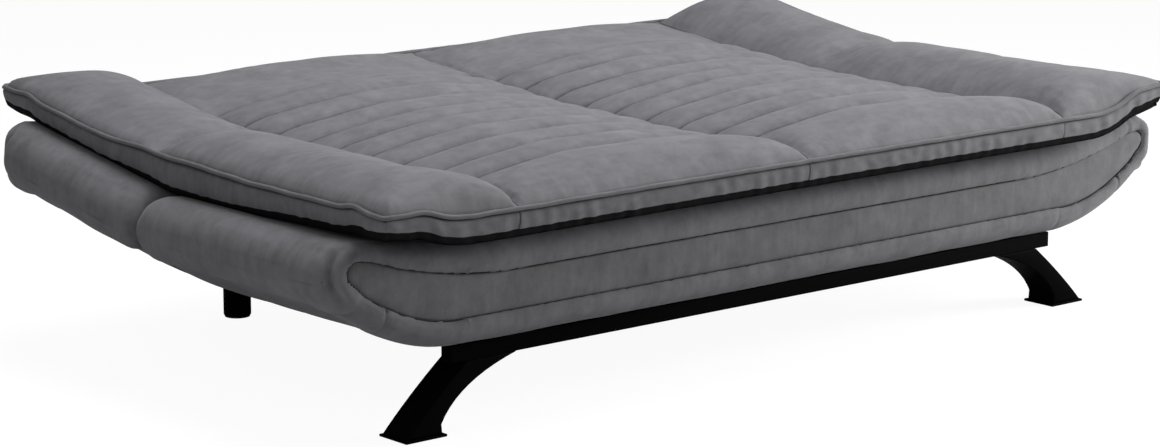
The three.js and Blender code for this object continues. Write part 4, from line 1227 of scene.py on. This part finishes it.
def detail_topper(topper):
    """Halves the cells of the top and border, then sinks the seams and gathers the cloth."""
    sizes = settings("topper_sizes")
    bm = bmesh.new()
    bm.from_mesh(topper.data)
    level = bm.verts.layers.float["level"]
    shown = [edge for edge in bm.edges if max(vert[level] for vert in edge.verts) > 0.01]
    bmesh.ops.subdivide_edges(bm, edges=shown, cuts=1, use_grid_fill=True)
    soft = [vert for vert in bm.verts if vert[level] > 0.01]
    for _ in range(2):
        bmesh.ops.smooth_vert(
            bm, verts=soft, factor=0.5, use_axis_x=True, use_axis_y=True, use_axis_z=True
        )
    bm.to_mesh(topper.data)
    bm.free()
    mesh = topper.data
    x, s, lv = (attribute(mesh, name) for name in ("flat_x", "flat_s", "level"))
    end = topper_end(s)
    to_side = sizes.half_length - np.abs(x)
    to_rim = np.minimum(to_side, end)
    on_top = lv > 0.99
    pitch = sizes.rib_pitch
    middle, reach = panel_span()
    to_rib = np.abs((s / pitch + 0.5) % 1 - 0.5) * pitch
    off_panel = np.maximum(np.maximum(np.abs(s - middle) - reach, np.abs(x) - sizes.seam_x), 0)
    rib_line = np.hypot(to_rib, off_panel)
    cross_line = np.minimum(np.abs(x), np.abs(np.abs(x) - sizes.seam_x))
    sewn = np.minimum(rib_line, cross_line)
    groove = 0.0035 * np.exp(-((rib_line / 0.006) ** 2)) + 0.0045 * np.exp(-((cross_line / 0.007) ** 2))
    puckers = 0.0011 * waves(x * 30, s * 30, 3, 2) * np.exp(-sewn / 0.02)
    along = np.where(to_side < end, s, x)
    gather = waves(along * 26, to_rim * 3, 4, 2)
    patches = smooth(waves(along * 3.1, to_rim * 2, 17, 2) + 0.35)
    strength = np.where(to_side < end, 0.0005, 0.0013) * patches
    rim_pull = strength * gather * np.exp(-to_rim / 0.035) * smooth(to_rim / 0.006)
    slack = 0.0016 * waves(x * 3.2, s * 3.2, 8, 3) * smooth(to_rim / 0.04)
    top_move = -groove * smooth(to_rim / 0.01) + puckers + rim_pull + slack
    down = 1 - lv
    round_share = np.sqrt(1 - (2 * np.clip(down, 0, 1) - 1) ** 2)
    border_gather = waves(along * 44, down * 0.6, 9, 2) * 0.0016 * round_share
    border_gather = border_gather - 0.0035 * bump_at(down, 0.083, 0.05)
    push_out(mesh, np.where(on_top, top_move, np.where(lv > 0.01, border_gather, 0)))
    # The underside is lined, and the liner reaching up the border's lower part is a black band painted as
    # the shadow under the topper's overhang.
    line_faces(mesh, lv < SHADE_BAND_LEVEL)
    write_topper_uvs(mesh, x, s, lv)
    for name in ("flat_x", "flat_s", "level"):
        mesh.attributes.remove(mesh.attributes[name])
    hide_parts("seat_topper", "back_topper")
    blend_over_fold(topper)


def write_topper_uvs(mesh, x, s, level):
    """The flat pattern as UVs: the border carries on outwards past the edge."""
    out_x, out_s, _ = outward(x, s)
    reach = (1 - level) * 0.05
    pattern = np.stack([x + out_x * reach, s + out_s * reach], axis=-1)
    layer = mesh.uv_layers.get("UVMap") or mesh.uv_layers.new(name="UVMap")
    corners = np.empty(len(mesh.loops), np.int32)
    mesh.loops.foreach_get("vertex_index", corners)
    layer.data.foreach_set("uv", pattern[corners].astype(np.float32).ravel())


def blend_over_fold(piece):
    """The pad bends from the seat to the back over a zone round the fold axis."""
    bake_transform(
        piece,
        "seat",
        "back",
        start=(0, FOLD_Y - FOLD_ZONE, AXIS_Z),
        end=(0, FOLD_Y + FOLD_ZONE, AXIS_Z),
    )


def build_topper_piping():
    """The bead sewn into the topper's upper edge, all the way round."""
    sizes = settings("topper_sizes")
    front, rear, half = sizes.front, sizes.rear, sizes.half_length
    trim = 0.006
    cells = 260
    xs = np.linspace(-half + trim, half - trim, cells)
    ss = np.linspace(-front + trim, rear - trim, cells * 2 // 3)
    x = np.concatenate([xs, np.full(len(ss), half), xs[::-1], np.full(len(ss), -half)])
    s = np.concatenate([np.full(cells, -front), ss, np.full(cells, rear), ss[::-1]])
    out_x, out_s, _ = outward(x, s)
    lift = topper_edge_height(x, s)
    wander = 0.0008 * waves(x * 9 + 3, s * 9, 14, 2)
    path = pad_in_room(x + out_x * 0.0018, s + out_s * 0.0018, lift + wander)
    piping = bead("topper_piping", path, sizes.piping_radius, "piping", sides=12)
    blend_over_fold(piping)
    return piping


SHEET_THICKNESS = 0.0005


def build_dust_cover(half):
    """A thin black sheet under a half's frame, pulled tight and slightly rippled."""
    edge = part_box(f"{half}_dust_cover")[1].x
    node = frame["nodes"][f"{half}_dust_cover"]
    corners = np.array([vert.co for vert in node.data.vertices])
    tilt = 0.0 if half == "seat" else BACK_TILT
    dy, dz = corners[:, 1] - FOLD_Y, corners[:, 2] - AXIS_Z
    along = dy * math.cos(tilt) + dz * math.sin(tilt)
    up = -dy * math.sin(tilt) + dz * math.cos(tilt)
    columns, rows = 90, 36
    bm = bmesh.new()
    verts, column, row = grid(bm, columns, rows)
    u, v = column / columns, row / rows
    x = mix(-edge, edge, u)
    s = mix(along.min(), along.max(), v)
    hem = np.minimum(np.minimum(u, 1 - u) * 2 * edge, np.minimum(v, 1 - v) * np.ptp(along))
    h = up.max() - 0.0007 - 0.0009 * (1 + waves(x * 6, s * 6, 21)) / 2 * smooth(hem / 0.05)
    set_uvs(bm, verts, np.stack([x, s], axis=-1))
    place_verts(verts, in_room(x, s, h, tilt))
    bmesh.ops.solidify(bm, geom=list(bm.faces), thickness=SHEET_THICKNESS)
    bmesh.ops.recalc_face_normals(bm, faces=bm.faces)
    sheet = add_piece(f"{half}_dust_sheet", bm, "liner", smooth_angle=50)
    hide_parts(f"{half}_dust_cover")
    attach(sheet, half)
    return sheet


FINISH_OF_SLOT = {
    "black_steel": "steel",
    "zinc_steel": "zinc",
    "frame_wood": "long_pine",
    "glide_plastic": "plastic",
}


def slot_of(node):
    for part in frame["record"]["subparts"]:
        if part["node"] == node:
            return part["material_slot"]
    raise ValueError(f"no material slot for {node}")


def finished_copy(node, edge, segments=2, finish=None):
    """A construction solid with its triangles merged and its edges eased."""
    source = frame["nodes"][node]
    bm = bmesh.new()
    bm.from_mesh(source.data)
    bmesh.ops.remove_doubles(bm, verts=bm.verts, dist=2e-6)
    bmesh.ops.dissolve_limit(
        bm, angle_limit=math.radians(0.5), verts=bm.verts, edges=bm.edges, use_dissolve_boundaries=False
    )
    sharp = [item for item in bm.edges if item.calc_face_angle(0) > math.radians(28)]
    bmesh.ops.bevel(
        bm,
        geom=sharp,
        offset=edge,
        segments=segments,
        profile=0.5,
        affect="EDGES",
        material=-1,
        clamp_overlap=True,
    )
    slot = slot_of(node)
    piece = add_piece(f"{node}_finished", bm, finish or FINISH_OF_SLOT[slot], smooth_angle=35)
    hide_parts(node)
    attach(piece, source["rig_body"])
    return piece


def upright_round(node, edge, slope=0.0):
    """A turned upright leg or glide, with eased ends; slope cuts its top to a tilt."""
    low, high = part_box(node)
    radius = (high.x - low.x) / 2
    middle = (low + high) / 2
    bm = bmesh.new()
    bmesh.ops.create_cone(
        bm,
        cap_ends=True,
        segments=64,
        radius1=radius,
        radius2=radius,
        depth=high.z - low.z,
        matrix=Matrix.Translation(middle),
    )
    if slope:
        normal = Vector((0, -math.sin(slope), math.cos(slope)))
        top = Vector((middle.x, high.y, high.z))
        geometry = [*bm.verts, *bm.edges, *bm.faces]
        cut = bmesh.ops.bisect_plane(bm, geom=geometry, plane_co=top, plane_no=normal, clear_outer=True)
        rim = [item for item in cut["geom_cut"] if isinstance(item, bmesh.types.BMEdge)]
        bmesh.ops.edgeloop_fill(bm, edges=rim)
    rims = [item for item in bm.edges if item.calc_face_angle(0) > math.radians(40)]
    bmesh.ops.bevel(
        bm, geom=rims, offset=edge, segments=3, profile=0.5, affect="EDGES", material=-1
    )
    slot = slot_of(node)
    piece = add_piece(f"{node}_turned", bm, FINISH_OF_SLOT[slot], smooth_angle=35)
    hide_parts(node)
    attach(piece, frame["nodes"][node]["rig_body"])
    return piece


class SOFABED_OT_covers(bpy.types.Operator):
    """Sews the covers over the seat's and the back's foam."""

    bl_idname = "sofabed.covers"
    bl_label = "Covers"
    bl_options = {"REGISTER", "UNDO"}

    def execute(self, context):
        for half in ("seat", "back"):
            build_cover(half)
        return {"FINISHED"}


class SOFABED_OT_inserts(bpy.types.Operator):
    """Sets the long inserts and their welts into the outer faces."""

    bl_idname = "sofabed.inserts"
    bl_label = "Inserts and welts"
    bl_options = {"REGISTER", "UNDO"}

    def execute(self, context):
        build_insert("seat", "seat_front_panel", "seat_front_insert")
        build_insert("back", "back_end_panel", "back_end_insert")
        build_welt("seat", "seat_front_welt")
        build_welt("back", "back_end_welt")
        return {"FINISHED"}


class SOFABED_OT_topper(bpy.types.Operator):
    """Fills and quilts the topper."""

    bl_idname = "sofabed.topper"
    bl_label = "Topper"
    bl_options = {"REGISTER", "UNDO"}

    def execute(self, context):
        build_topper()
        return {"FINISHED"}


class SOFABED_OT_piping(bpy.types.Operator):
    """Sews the bead round the topper's edge."""

    bl_idname = "sofabed.piping"
    bl_label = "Topper piping"
    bl_options = {"REGISTER", "UNDO"}

    def execute(self, context):
        build_topper_piping()
        return {"FINISHED"}


class SOFABED_OT_dust_covers(bpy.types.Operator):
    """Staples the black sheets under the frames."""

    bl_idname = "sofabed.dust_covers"
    bl_label = "Dust covers"
    bl_options = {"REGISTER", "UNDO"}

    def execute(self, context):
        for half in ("seat", "back"):
            build_dust_cover(half)
        return {"FINISHED"}


class SOFABED_OT_base(bpy.types.Operator):
    """Finishes the black steel base: rails, legs, feet, posts and brackets."""

    bl_idname = "sofabed.base"
    bl_label = "Steel base"
    bl_options = {"REGISTER", "UNDO"}

    def execute(self, context):
        finished_copy("front_rail", 0.002)
        finished_copy("rear_rail", 0.002)
        for side in SIDES:
            finished_copy(f"side_rail_{side}", 0.002)
            finished_copy(f"front_leg_{side}", 0.0025, segments=3)
            finished_copy(f"foot_pad_{side}", 0.0015)
            finished_copy(f"post_bracket_{side}", 0.001)
            upright_round(f"rear_leg_{side}", 0.001)
            upright_round(f"post_{side}", 0.001, slope=BACK_TILT)
        return {"FINISHED"}


class SOFABED_OT_glides(bpy.types.Operator):
    """Presses the plastic glides under the round legs and posts."""

    bl_idname = "sofabed.glides"
    bl_label = "Glides"
    bl_options = {"REGISTER", "UNDO"}

    def execute(self, context):
        for side in SIDES:
            upright_round(f"rear_leg_glide_{side}", 0.0012)
            upright_round(f"post_glide_{side}", 0.0012)
        return {"FINISHED"}


class SOFABED_OT_hinges(bpy.types.Operator):
    """Finishes the click clack hinges and their fasteners."""

    bl_idname = "sofabed.hinges"
    bl_label = "Click clack hinges"
    bl_options = {"REGISTER", "UNDO"}

    def execute(self, context):
        for side in SIDES:
            for node in ("seat_hinge_plate", "back_hinge_plate", "pawl"):
                finished_copy(f"{node}_{side}", 0.0004)
            for node in ("pivot_bolt", "pivot_nut", "pawl_pin"):
                finished_copy(f"{node}_{side}", 0.0006)
            finished_copy(f"pawl_spring_{side}", 0.0002)
        return {"FINISHED"}


class SOFABED_OT_timber(bpy.types.Operator):
    """Planes the wooden frames inside the covers."""

    bl_idname = "sofabed.timber"
    bl_label = "Timber frames"
    bl_options = {"REGISTER", "UNDO"}

    def execute(self, context):
        for node in sorted(frame["nodes"]):
            if slot_of(node) == "frame_wood":
                low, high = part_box(node)
                lengthwise = high.x - low.x > high.y - low.y
                finished_copy(node, 0.0012, finish="long_pine" if lengthwise else "cross_pine")
        return {"FINISHED"}


class SOFABED_OT_stage(bpy.types.Operator):
    """Sets the camera, the soft light and the pale floor."""

    bl_idname = "sofabed.stage"
    bl_label = "Stage"
    bl_options = {"REGISTER", "UNDO"}

    def execute(self, context):
        build_camera()
        build_lights()
        build_floor()
        return {"FINISHED"}


CAMERA_LENS = 105.5
CAMERA_PLACE = (-4.283, FOLD_Y - 5.0667, 1.534)
CAMERA_DROP = 11.49
CAMERA_TURN = -40.28
FLOOR_SIZE = 40
FLOOR_GLOW = 1.15
FLOOR_GLOW_SHARE = 0.82
WORLD_LIGHT = 0.15


def build_camera():
    camera = bpy.data.objects.new("camera", bpy.data.cameras.new("camera"))
    bpy.context.scene.collection.objects.link(camera)
    camera.data.sensor_width = 36
    camera.data.lens = CAMERA_LENS
    camera.data.clip_end = 100
    camera.location = CAMERA_PLACE
    camera.rotation_euler = (math.radians(90 - CAMERA_DROP), 0, math.radians(CAMERA_TURN))
    bpy.context.scene.camera = camera


def add_area_light(name, place, target, size, power, colour=(1, 1, 1)):
    light = bpy.data.objects.new(name, bpy.data.lights.new(name, "AREA"))
    light.data.shape = "SQUARE"
    light.data.size = size
    light.data.energy = power
    light.data.color = colour
    light.location = place
    light.rotation_euler = (Vector(target) - Vector(place)).to_track_quat("-Z", "Y").to_euler()
    bpy.context.scene.collection.objects.link(light)


def build_lights():
    middle = (0, 0, 0.35)
    add_area_light("overhead", (-0.15, -0.15, 3.1), middle, 2.2, 93, (0.96, 0.96, 1.0))
    add_area_light("right_side", (2.9, -1.9, 1.25), (0.8, -0.4, 0.3), 1.3, 112)
    add_area_light("left_fill", (-3.4, -0.8, 2.0), middle, 2.0, 16)
    world = bpy.data.worlds.new("studio")
    bpy.context.scene.world = world
    world.use_nodes = True
    tree = world.node_tree
    tree.nodes.clear()
    output = tree.nodes.new("ShaderNodeOutputWorld")
    rays = tree.nodes.new("ShaderNodeLightPath")
    light = tree.nodes.new("ShaderNodeBackground")
    light.inputs["Strength"].default_value = WORLD_LIGHT
    light.inputs["Color"].default_value = (0.96, 0.98, 1.0, 1)
    white = tree.nodes.new("ShaderNodeBackground")
    white.inputs["Strength"].default_value = 1.0
    white.inputs["Color"].default_value = (1, 1, 1, 1)
    blend = tree.nodes.new("ShaderNodeMixShader")
    tree.links.new(rays.outputs["Is Camera Ray"], blend.inputs[0])
    tree.links.new(light.outputs[0], blend.inputs[1])
    tree.links.new(white.outputs[0], blend.inputs[2])
    tree.links.new(blend.outputs[0], output.inputs["Surface"])


def build_floor():
    bm = bmesh.new()
    bmesh.ops.create_grid(bm, x_segments=1, y_segments=1, size=FLOOR_SIZE)
    mesh = bpy.data.meshes.new("floor")
    bm.to_mesh(mesh)
    bm.free()
    floor = bpy.data.objects.new("floor", mesh)
    bpy.context.scene.collection.objects.link(floor)
    finish = Finish("pale_floor", Roughness=1.0)
    finish.shader.inputs["Base Color"].default_value = (0.6, 0.6, 0.6, 1)
    finish.shader.inputs["Specular IOR Level"].default_value = 0.0
    glow = finish.node("ShaderNodeEmission", None, {"Color": (1, 1, 1, 1), "Strength": FLOOR_GLOW})
    rays = finish.node("ShaderNodeLightPath")
    share = finish.value(rays, "Is Camera Ray") * FLOOR_GLOW_SHARE
    inputs = {0: share, 1: finish.shader.outputs[0], 2: glow.outputs[0]}
    blend = finish.node("ShaderNodeMixShader", None, inputs)
    finish.link(blend.outputs[0], finish.output.inputs["Surface"])
    mesh.materials.append(finish.material)


OPERATORS = (
    SOFABED_OT_stage,
    SOFABED_OT_covers,
    SOFABED_OT_inserts,
    SOFABED_OT_topper,
    SOFABED_OT_piping,
    SOFABED_OT_dust_covers,
    SOFABED_OT_base,
    SOFABED_OT_glides,
    SOFABED_OT_hinges,
    SOFABED_OT_timber,
)


class SOFABED_PT_panel(bpy.types.Panel):
    """Lists the sizes, the colours and the steps."""

    bl_idname = "SOFABED_PT_panel"
    bl_label = "Click clack sofa bed"
    bl_space_type = "VIEW_3D"
    bl_region_type = "UI"
    bl_category = "Sofa bed"

    def draw(self, context):
        for group in PROPERTY_GROUPS:
            box = self.layout.box()
            values = getattr(context.scene, group)
            for name in values.__annotations__:
                box.prop(values, name)
        for operator in OPERATORS:
            self.layout.operator(operator.bl_idname)


PROPERTY_GROUPS = {
    "block_sizes": BlockSizes,
    "topper_sizes": TopperSizes,
    "finish_colours": FinishColours,
}


def register():
    for group, kind in PROPERTY_GROUPS.items():
        bpy.utils.register_class(kind)
        setattr(bpy.types.Scene, group, PointerProperty(type=kind))
    for kind in (*OPERATORS, SOFABED_PT_panel):
        bpy.utils.register_class(kind)


def unregister():
    for kind in (SOFABED_PT_panel, *reversed(OPERATORS)):
        bpy.utils.unregister_class(kind)
    for group, kind in PROPERTY_GROUPS.items():
        delattr(bpy.types.Scene, group)
        bpy.utils.unregister_class(kind)


def main():
    register()
    bpy.context.scene.view_settings.view_transform = "Standard"
    for operator in OPERATORS:
        category, name = operator.bl_idname.split(".")
        getattr(getattr(bpy.ops, category), name)()
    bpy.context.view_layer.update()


if __name__ == "__main__":
    main()
